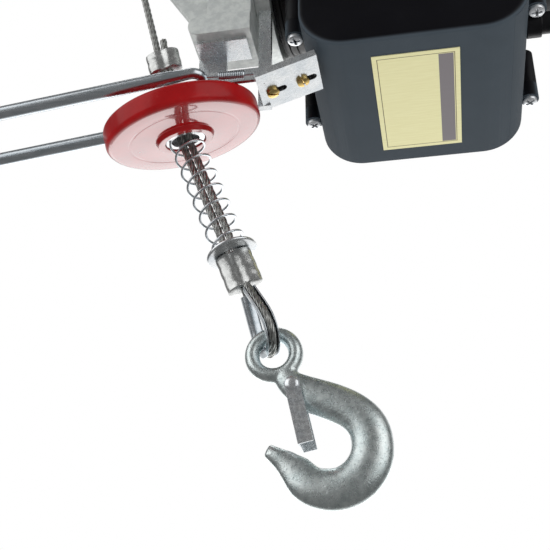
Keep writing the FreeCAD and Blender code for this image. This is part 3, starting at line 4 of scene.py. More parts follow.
import bmesh
import bpy
import numpy as np
from mathutils import Matrix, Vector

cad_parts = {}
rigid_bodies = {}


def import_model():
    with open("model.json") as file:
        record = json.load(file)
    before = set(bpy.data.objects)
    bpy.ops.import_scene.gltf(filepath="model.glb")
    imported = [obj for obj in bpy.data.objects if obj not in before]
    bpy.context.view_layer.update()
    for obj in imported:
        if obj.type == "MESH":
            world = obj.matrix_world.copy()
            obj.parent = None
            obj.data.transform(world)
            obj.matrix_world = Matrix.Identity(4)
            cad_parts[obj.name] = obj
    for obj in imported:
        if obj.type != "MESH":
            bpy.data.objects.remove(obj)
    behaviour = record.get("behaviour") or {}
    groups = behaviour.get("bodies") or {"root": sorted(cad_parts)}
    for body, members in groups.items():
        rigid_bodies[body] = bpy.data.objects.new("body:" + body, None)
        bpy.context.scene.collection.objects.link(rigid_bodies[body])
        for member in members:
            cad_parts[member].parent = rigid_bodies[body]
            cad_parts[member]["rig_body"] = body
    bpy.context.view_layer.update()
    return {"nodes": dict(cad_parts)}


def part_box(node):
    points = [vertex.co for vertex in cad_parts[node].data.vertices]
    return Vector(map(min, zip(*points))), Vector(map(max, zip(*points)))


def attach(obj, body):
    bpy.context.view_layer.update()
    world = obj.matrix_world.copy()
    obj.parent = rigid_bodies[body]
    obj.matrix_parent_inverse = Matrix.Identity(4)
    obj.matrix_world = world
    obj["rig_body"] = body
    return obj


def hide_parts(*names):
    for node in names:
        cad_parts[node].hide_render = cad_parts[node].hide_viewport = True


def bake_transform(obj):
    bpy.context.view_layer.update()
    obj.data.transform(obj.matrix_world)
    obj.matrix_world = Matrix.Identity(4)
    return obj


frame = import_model()
nodes = frame["nodes"]

# Lengths are in metres. Axis of the motor and of the drum below the hanging bar, then the disc and the
# lever's pivot below the motor's axis
AXIS_DROP = 0.109
DRUM_DROP = 0.071
DISC_DROP = 0.1493
PIVOT_DROP = 0.1268

# Rope: its middle from the drum's axis, its width, half the pair's spacing, the length in which a strand goes
# round once, and how far out a strand lies and how thick it is, as shares of half the rope's width
DRUM_REACH = 0.027392
ROPE = 0.004
PAIR = 0.00205
LAY = 0.027
STRAND_OUT = 0.64
STRAND_THICK = 0.36

# Distances along the rope from the disc: up to both ends of the upper sleeve, down to everything else
SPLICE_LOW = 0.0425
SPLICE_HIGH = 0.0565
SPRING_TOP = 0.0055
WASHER_AT = 0.0834
SLEEVE_AT = 0.0852
LOOP_AT = 0.1308
HOOK_RING_AT = 0.1443

# Centre of the hook's bowl below its ring, and lower end of the disc's hub below the disc's middle
BOWL_DROP = 0.0521
HUB_OFFSET = 0.0085


def leaning(angle):
    """Unit vector that hangs down, swung towards the motor by an angle in degrees."""
    turn = math.radians(angle)
    return np.array([math.sin(turn), 0.0, -math.cos(turn)])


def unit(vectors):
    """Vectors divided by their lengths."""
    return vectors / np.linalg.norm(vectors, axis=-1, keepdims=True)


# The disc's place on the rope, the way down and the way aside on the rope above and below it, the disc's own
# axis and middle, and the frame's directions
disc_at = np.array([0.0432, -DRUM_REACH, -AXIS_DROP - DISC_DROP])
upper_down = leaning(14.0)
lower_down = leaning(20.5)
upper_side = np.array([-upper_down[2], 0.0, upper_down[0]])
lower_side = np.array([-lower_down[2], 0.0, lower_down[0]])
disc_down = unit(np.array([0.205, 0.261, -0.943]))
disc_middle = disc_at + (lower_down - disc_down) * HUB_OFFSET
right = np.array([1.0, 0.0, 0.0])
back = np.array([0.0, 1.0, 0.0])
front = -back
up = np.array([0.0, 0.0, 1.0])


# Camera in front of the hoist and under it, looking up at the red disc
camera = bpy.data.objects.new("camera", bpy.data.cameras.new("camera"))
bpy.context.scene.collection.objects.link(camera)
camera.data.sensor_width = 36.0
camera.data.lens = 65.4545
camera.data.clip_start = 0.01
camera.data.clip_end = 50.0
camera.matrix_world = Matrix(((0.9848, 0.0829, 0.1526, 0.168),
                              (0.1736, -0.4699, -0.8655, -0.446),
                              (0.0, 0.8788, -0.4772, -0.582),
                              (0.0, 0.0, 0.0, 1.0)))
bpy.context.scene.camera = camera


class Link:
    """A value on its way through a finish; arithmetic on it adds Math nodes."""

    def __init__(self, finish, socket):
        self.finish = finish
        self.socket = socket

    def maths(self, operation, first, second):
        return self.finish.node("ShaderNodeMath", {"operation": operation}, {0: first, 1: second})

    def __add__(self, other):
        return self.maths("ADD", self, other)

    def __sub__(self, other):
        return self.maths("SUBTRACT", self, other)

    def __rsub__(self, other):
        return self.maths("SUBTRACT", other, self)

    def __mul__(self, other):
        return self.maths("MULTIPLY", self, other)


class Finish:
    """A material in the making: one shader, one method that adds any node, and short names for some."""

    def __init__(self, name, slot, **sockets):
        self.material = bpy.data.materials.new(name)
        self.material.use_nodes = True
        self.slot = slot
        self.tree = self.material.node_tree
        self.tree.nodes.clear()
        self.shader = self.tree.nodes.new("ShaderNodeBsdfPrincipled")
        end = self.tree.nodes.new("ShaderNodeOutputMaterial")
        self.tree.links.new(self.shader.outputs[0], end.inputs[0])
        self.places = self.node("ShaderNodeTexCoord", output="Object")
        for name, value in sockets.items():
            self.wear(name.replace("_", " ").title().replace("Ior", "IOR"), value)

    def feed(self, socket, value):
        """Link or number into a socket; a colour gets its fourth channel."""
        if isinstance(value, Link):
            self.tree.links.new(value.socket, socket)
        elif isinstance(value, tuple) and socket.type == "RGBA":
            socket.default_value = (*value, 1.0)
        else:
            socket.default_value = value

    def node(self, kind, settings=None, sockets=None, output=0):
        """Any node: its settings first, then what goes into its sockets."""
        made = self.tree.nodes.new(kind)
        for name, value in (settings or {}).items():
            setattr(made, name, value)
        for name, value in (sockets or {}).items():
            self.feed(made.inputs[name], value)
        return Link(self, made.outputs[output])

    def wear(self, name, value):
        """Put a number, colour or link on the shader's own socket."""
        self.feed(self.shader.inputs[name], value)

    def noise(self, scale, detail=3.0, rough=0.55, places=None):
        """Fractal noise from 0 to 1, its cells 1 / scale metres wide."""
        return self.node("ShaderNodeTexNoise", {}, {"Vector": places or self.places, "Scale": scale,
                                                    "Detail": detail, "Roughness": rough})

    def stretched(self, x, y, z):
        """Object coordinates scaled along each axis, for brushed or drawn grain."""
        return self.node("ShaderNodeMapping", {}, {"Vector": self.places, "Scale": (x, y, z)})

    def vector(self, operation, first, second, output=0):
        """Vector Math node."""
        return self.node("ShaderNodeVectorMath", {"operation": operation}, {0: first, 1: second}, output)

    def axis(self, name, places=None):
        """One coordinate of the places, in metres, or of another vector."""
        return self.node("ShaderNodeSeparateXYZ", {}, {0: places or self.places}, name)

    def facing(self):
        """The surface's normal."""
        return self.node("ShaderNodeNewGeometry", output="Normal")

    def folded(self, value, half):
        """Value folded to and fro between 0 and a half period."""
        return self.node("ShaderNodeMath", {"operation": "PINGPONG"}, {0: value, 1: half})

    def between(self, value, low, high):
        """0 below low, 1 above high, and a smooth rise between them."""
        return self.node("ShaderNodeMapRange", {"interpolation_type": "SMOOTHSTEP"},
                         {"Value": value, "From Min": low, "From Max": high})

    def colour(self, share, first, second):
        """Mix of two colours."""
        return self.node("ShaderNodeMix", {"data_type": "RGBA"}, {0: share, 6: first, 7: second}, 2)

    def edges(self, low, high):
        """Mask of the edges that stick out, from the mesh's own curvature."""
        return self.between(self.node("ShaderNodeNewGeometry", output="Pointiness"), low, high)

    def relief(self, height, depth):
        """Bump of so many metres into the shader's normal."""
        self.wear("Normal", self.node("ShaderNodeBump", {}, {"Height": height, "Distance": depth}))


def grained_metal(name, slot, dark, light, smooth, rough, grain, depth, metallic=1.0):
    """Metal with cloudy tone and a fine grain: wide noise gives the tone, narrow noise the roughness and
    relief."""
    made = Finish(name, slot, metallic=metallic)
    cloud = made.noise(grain * 0.2, 4.0, 0.6)
    fine = made.noise(grain, 4.0, 0.65)
    made.wear("Base Color", made.colour(made.between(cloud, 0.36, 0.64), dark, light))
    made.wear("Roughness", made.between(fine, 0.3, 0.7) * (rough - smooth) + smooth)
    made.relief(fine, depth)
    return made


def coated(name, slot, dark, light, smooth, rough, grain, depth, **sockets):
    """Paint or moulded plastic: two near tones, uneven gloss and a fine orange peel."""
    made = Finish(name, slot, **sockets)
    cloud = made.noise(grain * 0.06, 3.0)
    fine = made.noise(grain, 2.0)
    made.wear("Base Color", made.colour(made.between(cloud, 0.35, 0.65), dark, light))
    made.wear("Roughness", made.between(cloud * 0.5 + fine * 0.5, 0.35, 0.65) * (rough - smooth) + smooth)
    made.relief(fine, depth)
    return made


def drawn_zinc():
    """Zinc on cold-drawn bar and sheet: long faint streaks, bluish tone, and edges painted brighter as a
    painted highlight.
    """
    made = Finish("drawn_zinc", "zinc_steel", metallic=1.0)
    streak = made.noise(60.0, 4.0, 0.6, made.stretched(1.0, 9.0, 9.0))
    fine = made.noise(1600.0, 2.0)
    tone = made.colour(made.between(streak, 0.3, 0.7), (0.58, 0.64, 0.68), (0.76, 0.80, 0.84))
    # Edges that stick out are painted near white: a painted highlight
    made.wear("Base Color", made.colour(made.edges(0.53, 0.6), tone, (0.86, 0.89, 0.91)))
    made.wear("Roughness", streak * 0.16 + fine * 0.06 + 0.15)
    made.relief(streak * 0.6 + fine * 0.4, 0.00003)
    return made


def forged_zinc():
    """Zinc on a forging: mottled crystals, small pits, tone from cold grey to near white."""
    made = Finish("forged_zinc", "forged_zinc", metallic=1.0)
    cloud = made.noise(110.0, 5.0, 0.62)
    mottle = made.noise(420.0, 4.0, 0.6)
    pits = made.between(made.noise(900.0, 2.0), 0.56, 0.7)
    crystal = made.between(cloud * 0.6 + mottle * 0.4, 0.36, 0.64)
    tone = made.colour(crystal, (0.60, 0.68, 0.68), (0.86, 0.92, 0.91))
    made.wear("Base Color", made.colour(pits * 0.35, tone, (0.44, 0.49, 0.50)))
    grain = made.noise(2200.0, 3.0, 0.7)
    made.wear("Roughness", mottle * 0.2 + pits * 0.1 + 0.18)
    made.relief(cloud * 0.4 + mottle * 0.3 + grain * 0.5 - pits * 0.25, 0.00016)
    return made


def rope_wire():
    """Drawn wires in a strand: fine lines that run round and along it on its own map, dark between."""
    made = Finish("rope_wire", "wire_rope", metallic=1.0)
    chart = made.node("ShaderNodeUVMap", {"uv_map": "lay"})
    wires = made.node("ShaderNodeTexWave", {"wave_type": "BANDS", "bands_direction": "DIAGONAL"},
                      {"Vector": chart, "Scale": 1.0, "Distortion": 0.15})
    ridge = made.between(wires, 0.05, 0.8)
    soil = made.noise(300.0, 3.0)
    tone = made.colour(ridge, (0.30, 0.30, 0.29), (0.58, 0.59, 0.57))
    made.wear("Base Color", made.colour(made.between(soil, 0.5, 0.75) * 0.5, tone, (0.32, 0.30, 0.27)))
    made.wear("Roughness", 0.46 - ridge * 0.14)
    made.relief(ridge, 0.00004)
    return made


def red_gloss():
    """Red moulded disc: deep gloss with turning lines round its axis and a few scuffs."""
    made = Finish("red_gloss", "red_plastic", coat_roughness=0.07, coat_ior=1.9, specular_ior_level=0.2)
    centred = made.vector("SUBTRACT", made.places, tuple(disc_middle))
    across = made.vector("CROSS_PRODUCT", centred, tuple(disc_down))
    radius = made.vector("LENGTH", across, (0.0, 0.0, 0.0), "Value")
    lines = made.node("ShaderNodeMath", {"operation": "SINE"}, {0: radius * 5200.0})
    cloud = made.noise(55.0, 4.0)
    scuff = made.between(made.noise(170.0, 5.0, 0.7), 0.58, 0.74)
    tone = made.colour(made.between(cloud, 0.35, 0.65), (0.25, 0.001, 0.002), (0.32, 0.002, 0.003))
    made.wear("Base Color", made.colour(scuff * 0.25, tone, (0.42, 0.04, 0.03)))
    under = made.vector("DOT_PRODUCT", made.facing(), tuple(disc_down), "Value")
    made.wear("Coat Weight", made.between(under, 0.6, 0.95) * 0.94 + 0.06)
    made.wear("Roughness", cloud * 0.1 + scuff * 0.12 + 0.24)
    made.relief(lines * 0.03 + cloud, 0.00005)
    return made


def foil_label():
    """Gold foil plate: a thin border, a grey title bar near its right end and nothing printed on either."""
    made = Finish("foil_label", "label_foil", metallic=0.35)
    low, high = (np.array(corner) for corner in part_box("label_plate"))
    x = made.axis("X") - float(low[0])
    y = made.axis("Y") - float(low[1])
    width, length = (float(value) for value in (high - low)[:2])
    blur = 0.0001

    def within(place, size, margin):
        """1 where a place lies a margin or more from both ends of a size."""
        near = made.between(place, margin - blur, margin)
        return near * (1.0 - made.between(place, size - margin, size - margin + blur))

    def panel(margin):
        """1 inside a rectangle that lies a margin within the plate's edge."""
        return within(x, width, margin) * within(y, length, margin)

    border = panel(0.0026) - panel(0.0030)
    bar = panel(0.0034) * made.between(x, width - 0.0112, width - 0.0111)
    brushed = made.noise(900.0, 3.0, 0.6, made.stretched(0.08, 1.0, 1.0))
    gold = made.colour(brushed, (0.76, 0.71, 0.36), (0.90, 0.87, 0.53))
    marked = made.colour(bar, gold, (0.22, 0.20, 0.21))
    made.wear("Base Color", made.colour(border, marked, (0.12, 0.09, 0.05)))
    made.wear("Roughness", brushed * 0.16 + bar * 0.15 + 0.24)
    made.relief(brushed, 0.00002)
    return made


def screw_zinc():
    """Bright zinc on small screws: pale and even, with painted shade, near black, where the driver's recess
    goes in.
    """
    made = Finish("screw_zinc", "machined_steel", metallic=0.85)
    fine = made.noise(1500.0, 3.0)
    tone = made.colour(fine, (0.78, 0.81, 0.84), (0.92, 0.93, 0.94))
    # Hollows of low curvature, the driver's recess, are painted near black: painted shade
    made.wear("Base Color", made.colour(made.edges(0.43, 0.485), (0.03, 0.035, 0.04), tone))
    made.wear("Roughness", fine * 0.15 + 0.28)
    made.relief(fine, 0.00002)
    return made


def laminations():
    """Stamped core sheets: thin dark gaps at half a millimetre along the motor axis."""
    made = Finish("laminations", "core_steel", metallic=1.0)
    gap = 1.0 - made.between(made.folded(made.axis("X"), 0.00025), 0.00002, 0.00008)
    sheet = made.colour(made.noise(200.0), (0.25, 0.25, 0.26), (0.4, 0.4, 0.41))
    made.wear("Base Color", made.colour(gap, sheet, (0.05, 0.05, 0.05)))
    made.wear("Roughness", gap * 0.3 + 0.35)
    made.relief(1.0 - gap, 0.00005)
    return made


def wound_copper():
    """Enamelled copper: bands of wire round the axis."""
    made = Finish("wound_copper", "copper", metallic=1.0)
    band = made.folded(made.axis("X") + made.noise(90.0) * 0.002, 0.0004)
    top = made.between(band, 0.0, 0.0003)
    made.wear("Base Color", made.colour(top, (0.25, 0.08, 0.03), (0.72, 0.33, 0.15)))
    made.wear("Roughness", 0.45 - top * 0.15)
    made.relief(top, 0.0002)
    return made


def box_plastic():
    """Black moulded box: a satin near-black front, a fine spark texture on its other sides, which are painted
    a lighter blue-grey as painted light by the way they face, and edges painted lighter as a painted
    highlight.
    """
    made = Finish("box_plastic", "black_plastic", specular_ior_level=0.1)
    # Faces that don't point to the front: painted light, a lighter blue-grey on plastic that is black all
    # over, chosen by facing; they are also rougher and take the spark texture
    painted_lit_sides = made.between(made.axis("Y", made.facing()), -0.95, -0.55)
    spark = made.noise(2600.0, 3.0, 0.7)
    cloud = made.noise(45.0, 4.0)
    satin = made.colour(cloud, (0.002, 0.002, 0.003), (0.005, 0.005, 0.007))
    painted_lit_grey = made.colour(cloud, (0.046, 0.060, 0.074), (0.064, 0.081, 0.097))
    tone = made.colour(painted_lit_sides, satin, painted_lit_grey)
    # Edges that stick out are painted lighter: a painted highlight
    made.wear("Base Color", made.colour(made.edges(0.52, 0.58) * 0.25, tone, (0.06, 0.07, 0.08)))
    made.wear("Roughness", painted_lit_sides * 0.2 + cloud * 0.1 + 0.34)
    made.relief(spark * painted_lit_sides, 0.0001)
    return made


finishes = {
    "cast": grained_metal("cast_aluminium", "cast_aluminium", (0.58, 0.61, 0.60), (0.72, 0.75, 0.73),
                          0.34, 0.5, 900.0, 0.00012, 0.6),
    "ferrule": grained_metal("pressed_alloy", "ferrule_alloy", (0.60, 0.61, 0.60), (0.78, 0.79, 0.78),
                             0.2, 0.4, 500.0, 0.00012),
    "zinc": drawn_zinc(),
    "bright": grained_metal("bright_zinc", "zinc_steel", (0.80, 0.84, 0.87), (0.92, 0.94, 0.95),
                            0.2, 0.36, 700.0, 0.00004),
    "forged": forged_zinc(),
    "rope": rope_wire(),
    "black": coated("black_paint", "black_paint", (0.003, 0.003, 0.003), (0.008, 0.008, 0.009),
                    0.26, 0.42, 900.0, 0.00008, specular_ior_level=0.22),
    "box": box_plastic(),
    "satin": coated("satin_plastic", "black_plastic", (0.003, 0.003, 0.004), (0.008, 0.008, 0.010),
                    0.32, 0.46, 900.0, 0.00006, specular_ior_level=0.22),
    "label": foil_label(),
    "brass": grained_metal("turned_brass", "brass", (0.58, 0.40, 0.13), (0.82, 0.62, 0.26),
                           0.18, 0.36, 700.0, 0.00006),
    "red": red_gloss(),
    "machined": grained_metal("machined_steel", "machined_steel", (0.45, 0.46, 0.47), (0.64, 0.65, 0.66),
                              0.2, 0.38, 1200.0, 0.00005),
    "screw": screw_zinc(),
    "core": laminations(),
    "copper": wound_copper(),
    "grey": coated("grey_paint", "grey_paint", (0.20, 0.205, 0.21), (0.29, 0.295, 0.30),
                   0.35, 0.5, 800.0, 0.0001),
    "white": coated("white_plastic", "white_plastic", (0.62, 0.62, 0.60), (0.74, 0.74, 0.72),
                    0.3, 0.45, 700.0, 0.00005),
}


# Surfaces worked out as whole arrays
def rounded_outline(corners, radii, steps=5):
    """Closed outline with each corner turned into an arc: the arc runs between the two points where a circle
    of that radius touches the corner's sides, as a quadratic curve through the corner's own weight."""
    corners = np.array(corners, float)
    come = unit(np.roll(corners, 1, axis=0) - corners)
    go = unit(np.roll(corners, -1, axis=0) - corners)
    half = np.arccos(np.clip((come * go).sum(1), -1, 1)) / 2.0
    reach = (np.array(radii, float) / np.tan(half))[:, None]
    enter, leave = corners + come * reach, corners + go * reach
    share = np.linspace(0.0, 1.0, steps)[None, :, None]
    weight = np.sin(half)[:, None, None]
    come_part, corner_part, go_part = (1 - share) ** 2, 2 * weight * share * (1 - share), share ** 2
    curve = enter[:, None] * come_part + corners[:, None] * corner_part + leave[:, None] * go_part
    return (curve / (come_part + corner_part + go_part)).reshape(-1, corners.shape[1])


def grid_faces(rows, columns, first=0, loop_rows=False):
    """Quads of a grid whose columns close on themselves; its rows may close too."""
    down = np.arange(rows if loop_rows else rows - 1)[:, None]
    along = np.arange(columns)[None, :]
    under, beside = (down + 1) % rows, (along + 1) % columns
    quads = np.stack([down * columns + along, down * columns + beside, under * columns + beside,
                      under * columns + along], -1)
    return quads.reshape(-1, 4) + first


def closed_tubes(grids):
    """Points and faces of several tubes, each a grid of sections with a cap at both ends."""
    points, faces, first = [], [], 0
    for grid in grids:
        rows, columns = grid.shape[:2]
        count = rows * columns
        points += [grid.reshape(-1, 3), grid[0].mean(0)[None], grid[-1].mean(0)[None]]
        faces += grid_faces(rows, columns, first).tolist()
        ring = np.arange(columns)
        beside = (ring + 1) % columns
        last = first + (rows - 1) * columns
        faces += np.stack([np.full(columns, first + count), beside + first, ring + first], -1).tolist()
        faces += np.stack([np.full(columns, first + count + 1), ring + last, beside + last], -1).tolist()
        first += count + 2
    return np.concatenate(points), faces


def make_piece(name, body, finish, points, faces, replaced=(), smooth_angle=40.0):
    """A mesh of points and faces as a piece that rides on a body, its faces pointing outwards."""
    mesh = bpy.data.meshes.new(name)
    mesh.from_pydata(points.tolist(), [], faces)
    mesh.validate()
    work = bmesh.new()
    work.from_mesh(mesh)
    bmesh.ops.recalc_face_normals(work, faces=work.faces)
    work.to_mesh(mesh)
    work.free()
    return finish_piece(name, body, finish, mesh, replaced, smooth_angle)


def finish_piece(name, body, finish, mesh, replaced=(), smooth_angle=40.0):
    """Shade a mesh, give it its finish, and let it ride on its body in place of the nodes it stands for."""
    mesh.shade_smooth()
    mesh.set_sharp_from_angle(angle=math.radians(smooth_angle))
    mesh.materials.clear()
    mesh.materials.append(finishes[finish].material)
    piece = bpy.data.objects.new(name, mesh)
    bpy.context.scene.collection.objects.link(piece)
    if body:
        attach(piece, body)
    if replaced:
        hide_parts(*replaced)
    return piece


def tube_sections(line, side, radius, columns=16):
    """Circles square to a line: each point is the line's own point plus radius times the cosine of the angle
    on the side direction and the sine on the one square to it."""
    ahead = unit(np.gradient(line, axis=0))
    across = unit(side - (side * ahead).sum(-1, keepdims=True) * ahead)
    third = np.cross(ahead, across)
    angle = np.linspace(0.0, 2 * np.pi, columns, endpoint=False)[None, :, None]
    radius = np.broadcast_to(np.asarray(radius, float), (len(line),))[:, None, None]
    return line[:, None] + radius * (np.cos(angle) * across[:, None] + np.sin(angle) * third[:, None])


def evenly(line, step):
    """The same line with points about a step apart, and how far along it each of them lies."""
    run = np.concatenate([[0.0], np.cumsum(np.linalg.norm(np.diff(line, axis=0), axis=1))])
    at = np.linspace(0.0, run[-1], max(3, int(run[-1] / step) + 1))
    return np.stack([np.interp(at, run, line[:, k]) for k in range(3)], -1), at


def strand_lines(line, side, radius, step):
    """Six strands laid round a rope, each once round in every LAY: its centre line, the direction out of the
    rope at each point, and the distance along."""
    line, run = evenly(line, step)
    ahead = unit(np.gradient(line, axis=0))
    across = unit(side - (side * ahead).sum(-1, keepdims=True) * ahead)
    third = np.cross(ahead, across)
    for strand in range(6):
        angle = 2 * np.pi * (run / LAY + strand / 6.0)[:, None]
        out = np.cos(angle) * across + np.sin(angle) * third
        yield line + out * radius * STRAND_OUT, out, run


def rope_mesh(name, body, lines, replaced=(), step=0.0016, columns=8):
    """Ropes of six strands each, with a map of length along and turn round every strand for its wires."""
    grids, runs = [], []
    for line, side in lines:
        for centre, out, run in strand_lines(line, side, ROPE / 2.0, step):
            grids.append(tube_sections(centre, out, ROPE / 2.0 * STRAND_THICK, columns))
            runs.append(run)
    points, faces = closed_tubes(grids)
    piece = make_piece(name, body, "rope", points, faces, replaced, 60.0)
    along = np.concatenate([part for run in runs for part in (np.repeat(run, columns), run[[0, -1]])])
    once = np.arange(columns) / columns
    turn = np.concatenate([part for run in runs for part in (np.tile(once, len(run)), [0.5, 0.5])])
    chart = piece.data.uv_layers.new(name="lay")
    corner = np.zeros(len(piece.data.loops), np.int32)
    piece.data.loops.foreach_get("vertex_index", corner)
    spread = np.stack([along[corner] * 140.0, turn[corner]], -1)
    # Faces across the seam take turns past 1, so that the map doesn't run back over them
    wrapped = spread[:, 1].copy()
    starts = np.zeros(len(piece.data.polygons), np.int32)
    totals = np.zeros(len(piece.data.polygons), np.int32)
    piece.data.polygons.foreach_get("loop_start", starts)
    piece.data.polygons.foreach_get("loop_total", totals)
    widest = np.repeat(np.maximum.reduceat(wrapped, starts), totals)
    spread[:, 1] = np.where((widest - wrapped) > 0.5, wrapped + 1.0, wrapped)
    chart.data.foreach_set("uv", spread.astype(np.float32).ravel())
    return piece


def route_line(points):
    """Points that Blender's own NURBS spline of order 3 gives for a route's points."""
    curve = bpy.data.curves.new("route", "CURVE")
    curve.dimensions = "3D"
    spline = curve.splines.new("NURBS")
    spline.points.add(len(points) - 1)
    for knot, place in zip(spline.points, points):
        knot.co = (*place, 1.0)
    spline.order_u = 3
    spline.use_endpoint_u = True
    spline.resolution_u = 16
    holder = bpy.data.objects.new("route", curve)
    mesh = bpy.data.meshes.new_from_object(holder)
    line = np.array([vertex.co[:] for vertex in mesh.vertices])
    bpy.data.objects.remove(holder)
    bpy.data.meshes.remove(mesh)
    return line


def on_upper(station, side):
    """Point on the upper line, a station above the disc, off to one side of it."""
    return disc_at - upper_down * station + upper_side * side


def on_lower(station, side):
    """Point on the lower line, a station below the disc, off to one side of it."""
    return disc_at + lower_down * station + lower_side * side


# Hoist rope: off the front of the drum and straight to the upper sleeve
rope_end = on_upper(SPLICE_HIGH - 0.0065, -PAIR)
drum_leave = rope_end - upper_down * ((-DRUM_DROP - rope_end[2]) / -upper_down[2])
hoist_route = [drum_leave, drum_leave * 0.6 + rope_end * 0.4, drum_leave * 0.3 + rope_end * 0.7, rope_end]
hoist_line = route_line(hoist_route)
hoist_rope = rope_mesh("hoist_rope", None, [(hoist_line, front)], ["falling_rope"])
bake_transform(hoist_rope)

# Rope pair through the disc and the spring, and the cut tail above the upper sleeve
pair_lines = []
for side in (-PAIR, PAIR):
    route = [on_upper(SPLICE_LOW + 0.004, side), on_upper(0.024, side),
             disc_at + (upper_side + lower_side) * side / 2, on_lower(0.024, side), on_lower(0.089, side)]
    pair_lines.append((route_line(route), front))
tail_marks = (-0.004, 0.0), (0.004, 0.0), (0.0095, 0.0006)
tail = [on_upper(SPLICE_HIGH + above, PAIR + off) for above, off in tail_marks]
pair_lines.append((route_line(tail), front))
rope_mesh("doubled_rope", "rope_end", pair_lines, ["rope_pair"])

# Rope eye round the thimble
loop_turn = math.radians(90.0 + 20.0)
loop_side = lower_side * math.cos(loop_turn) + back * math.sin(loop_turn)
loop_normal = np.cross(lower_down, loop_side)
loop_centre = disc_at + lower_down * LOOP_AT
loop_reach = 0.0113


def on_loop(across, station):
    """Point in the plane of the rope eye."""
    return disc_at + lower_down * station + loop_side * across


# Corner points of the eye as distance across and distance along the rope; those of its bow lie so far out
# that the rope between them runs loop_reach from the eye's centre
wide = loop_reach / math.cos(math.radians(22.5))
bow = [(wide * math.cos(turn), LOOP_AT + wide * math.sin(turn)) for turn in np.radians([-6.0, 39.0, 90.0])]
half_loop = [(PAIR, 0.1035), (0.0035, 0.1085), (0.0072, 0.1170)] + bow[:2]
other_half = [(-across, station) for across, station in reversed(half_loop)]
eye_line = route_line([on_loop(across, station) for across, station in half_loop + bow[2:] + other_half])
rope_mesh("eye_rope", "rope_end", [(eye_line, loop_normal)], ["rope_eye"], step=0.0012)


def channel_along(line, normal, centre, outline):
    """Channel bent round a loop: every section is the outline, its first number measured along the loop's
    normal and its second away from the loop's centre, square to the line."""
    ahead = unit(np.gradient(line, axis=0))
    out = np.cross(ahead, normal)
    out *= np.sign(((line - centre) * out).sum(-1, keepdims=True))
    return line[:, None] + outline[None, :, :1] * normal + outline[None, :, 1:] * out[:, None]


# Thimble: a pressed channel that takes the rope in its groove
channel_run, channel_at = evenly(eye_line, 0.0006)
channel_start = 0.0045
channel_run = channel_run[(channel_at > channel_start) & (channel_at < channel_at[-1] - channel_start)]
channel_corners = [(-0.0031, 0.0016), (-0.0031, -0.0028), (0.0031, -0.0028), (0.0031, 0.0016),
                   (0.0024, 0.0016), (0.0024, -0.0021), (-0.0024, -0.0021), (-0.0024, 0.0016)]
channel_radii = [0.0003, 0.0022, 0.0022, 0.0003, 0.0003, 0.0018, 0.0018, 0.0003]
channel_outline = rounded_outline(channel_corners, channel_radii, 6)
channel = channel_along(channel_run, loop_normal, loop_centre, channel_outline)
make_piece("thimble_eye", "rope_end", "zinc", *closed_tubes([channel]), ["thimble"], 50.0)


# Rope wound on the drum: two layers of strands over the hidden ones
def drum_helix(reach, first_x, last_x):
    """Helix round the drum's axis that ends at the drum's front: distance out is the reach, and the turn
    falls to nothing while X goes evenly from first to last, a rope's width a turn."""
    turns = (last_x - first_x) / ROPE
    turn = np.linspace(2 * np.pi * turns, 0.0, int(turns * 64))
    x = last_x - turn / (2 * np.pi) * ROPE
    return np.stack([x, -reach * np.cos(turn), reach * np.sin(turn) - DRUM_DROP], -1)


outer_turns = drum_helix(DRUM_REACH, -0.0379, drum_leave[0])
inner_turns = drum_helix(0.0231, drum_leave[0] + 0.003, 0.0379)
rope_mesh("wound_rope", "drum", [(outer_turns, right), (inner_turns, right)], ["rope_winding"], 0.0028, 6)


def turned(outline, centre, axis, side, columns=96):
    """A closed outline of (distance along the axis, radius) turned once round the axis."""
    third = np.cross(axis, side)
    angle = np.linspace(0.0, 2 * np.pi, columns, endpoint=False)[None, :, None]
    along, radius = outline[:, :1, None], outline[:, 1:, None]
    grid = centre + along * axis + radius * (np.cos(angle) * side + np.sin(angle) * third)
    return grid.reshape(-1, 3), grid_faces(len(outline), columns, 0, True).tolist()


# The turns that lie hidden under the strands, as one plain ring with a step
packing = rounded_outline([(-0.0395, 0.0152), (0.0395, 0.0152), (0.0395, 0.0228), (-0.0066, 0.0228),
                           (-0.0066, 0.0262), (-0.0395, 0.0262)], [0.0002] * 6, 3)
make_piece("packed_turns", "drum", "rope", *turned(packing, -up * DRUM_DROP, right, up))

# Red disc: rounded rim, faint ring on its underside, raised hub with a metal bush, and a dished top. Every
# corner of its section has a distance down the axis, a radius and a rounding
disc_side = unit(np.cross(disc_down, back))
disc_hub = [(-0.0050, 0.0148, 0.0006), (-0.0050, 0.0108, 0.0005), (0.0085, 0.0108, 0.0008),
            (0.0085, 0.0148, 0.0008)]
disc_under = [(0.0060, 0.0158, 0.0008), (0.0060, 0.0290, 0.0002), (0.00592, 0.0294, 0.0002),
              (0.00592, 0.0302, 0.0002), (0.0060, 0.0306, 0.0002)]
disc_rim = [(0.0060, 0.0420, 0.0032), (-0.0060, 0.0420, 0.0026)]
disc_dish = [(-0.0060, 0.0382, 0.0006), (0.0010, 0.0376, 0.0012), (0.0010, 0.0152, 0.0012)]
disc_corners = np.array(disc_hub + disc_under + disc_rim + disc_dish)
disc_outline = rounded_outline(disc_corners[:, :2], disc_corners[:, 2], 7)
disc_surface = turned(disc_outline, disc_middle, disc_down, disc_side, 160)
make_piece("red_disc", "disc", "red", *disc_surface, ["limit_disc"])
bush_outline = rounded_outline([(0.0078, 0.0074), (0.0078, 0.0107), (-0.0044, 0.0107), (-0.0044, 0.0074)],
                               [0.0006, 0.0003, 0.0003, 0.0006], 5)
make_piece("disc_ring", "disc", "machined", *turned(bush_outline, disc_middle, disc_down, disc_side, 96),
           ["disc_bush"])

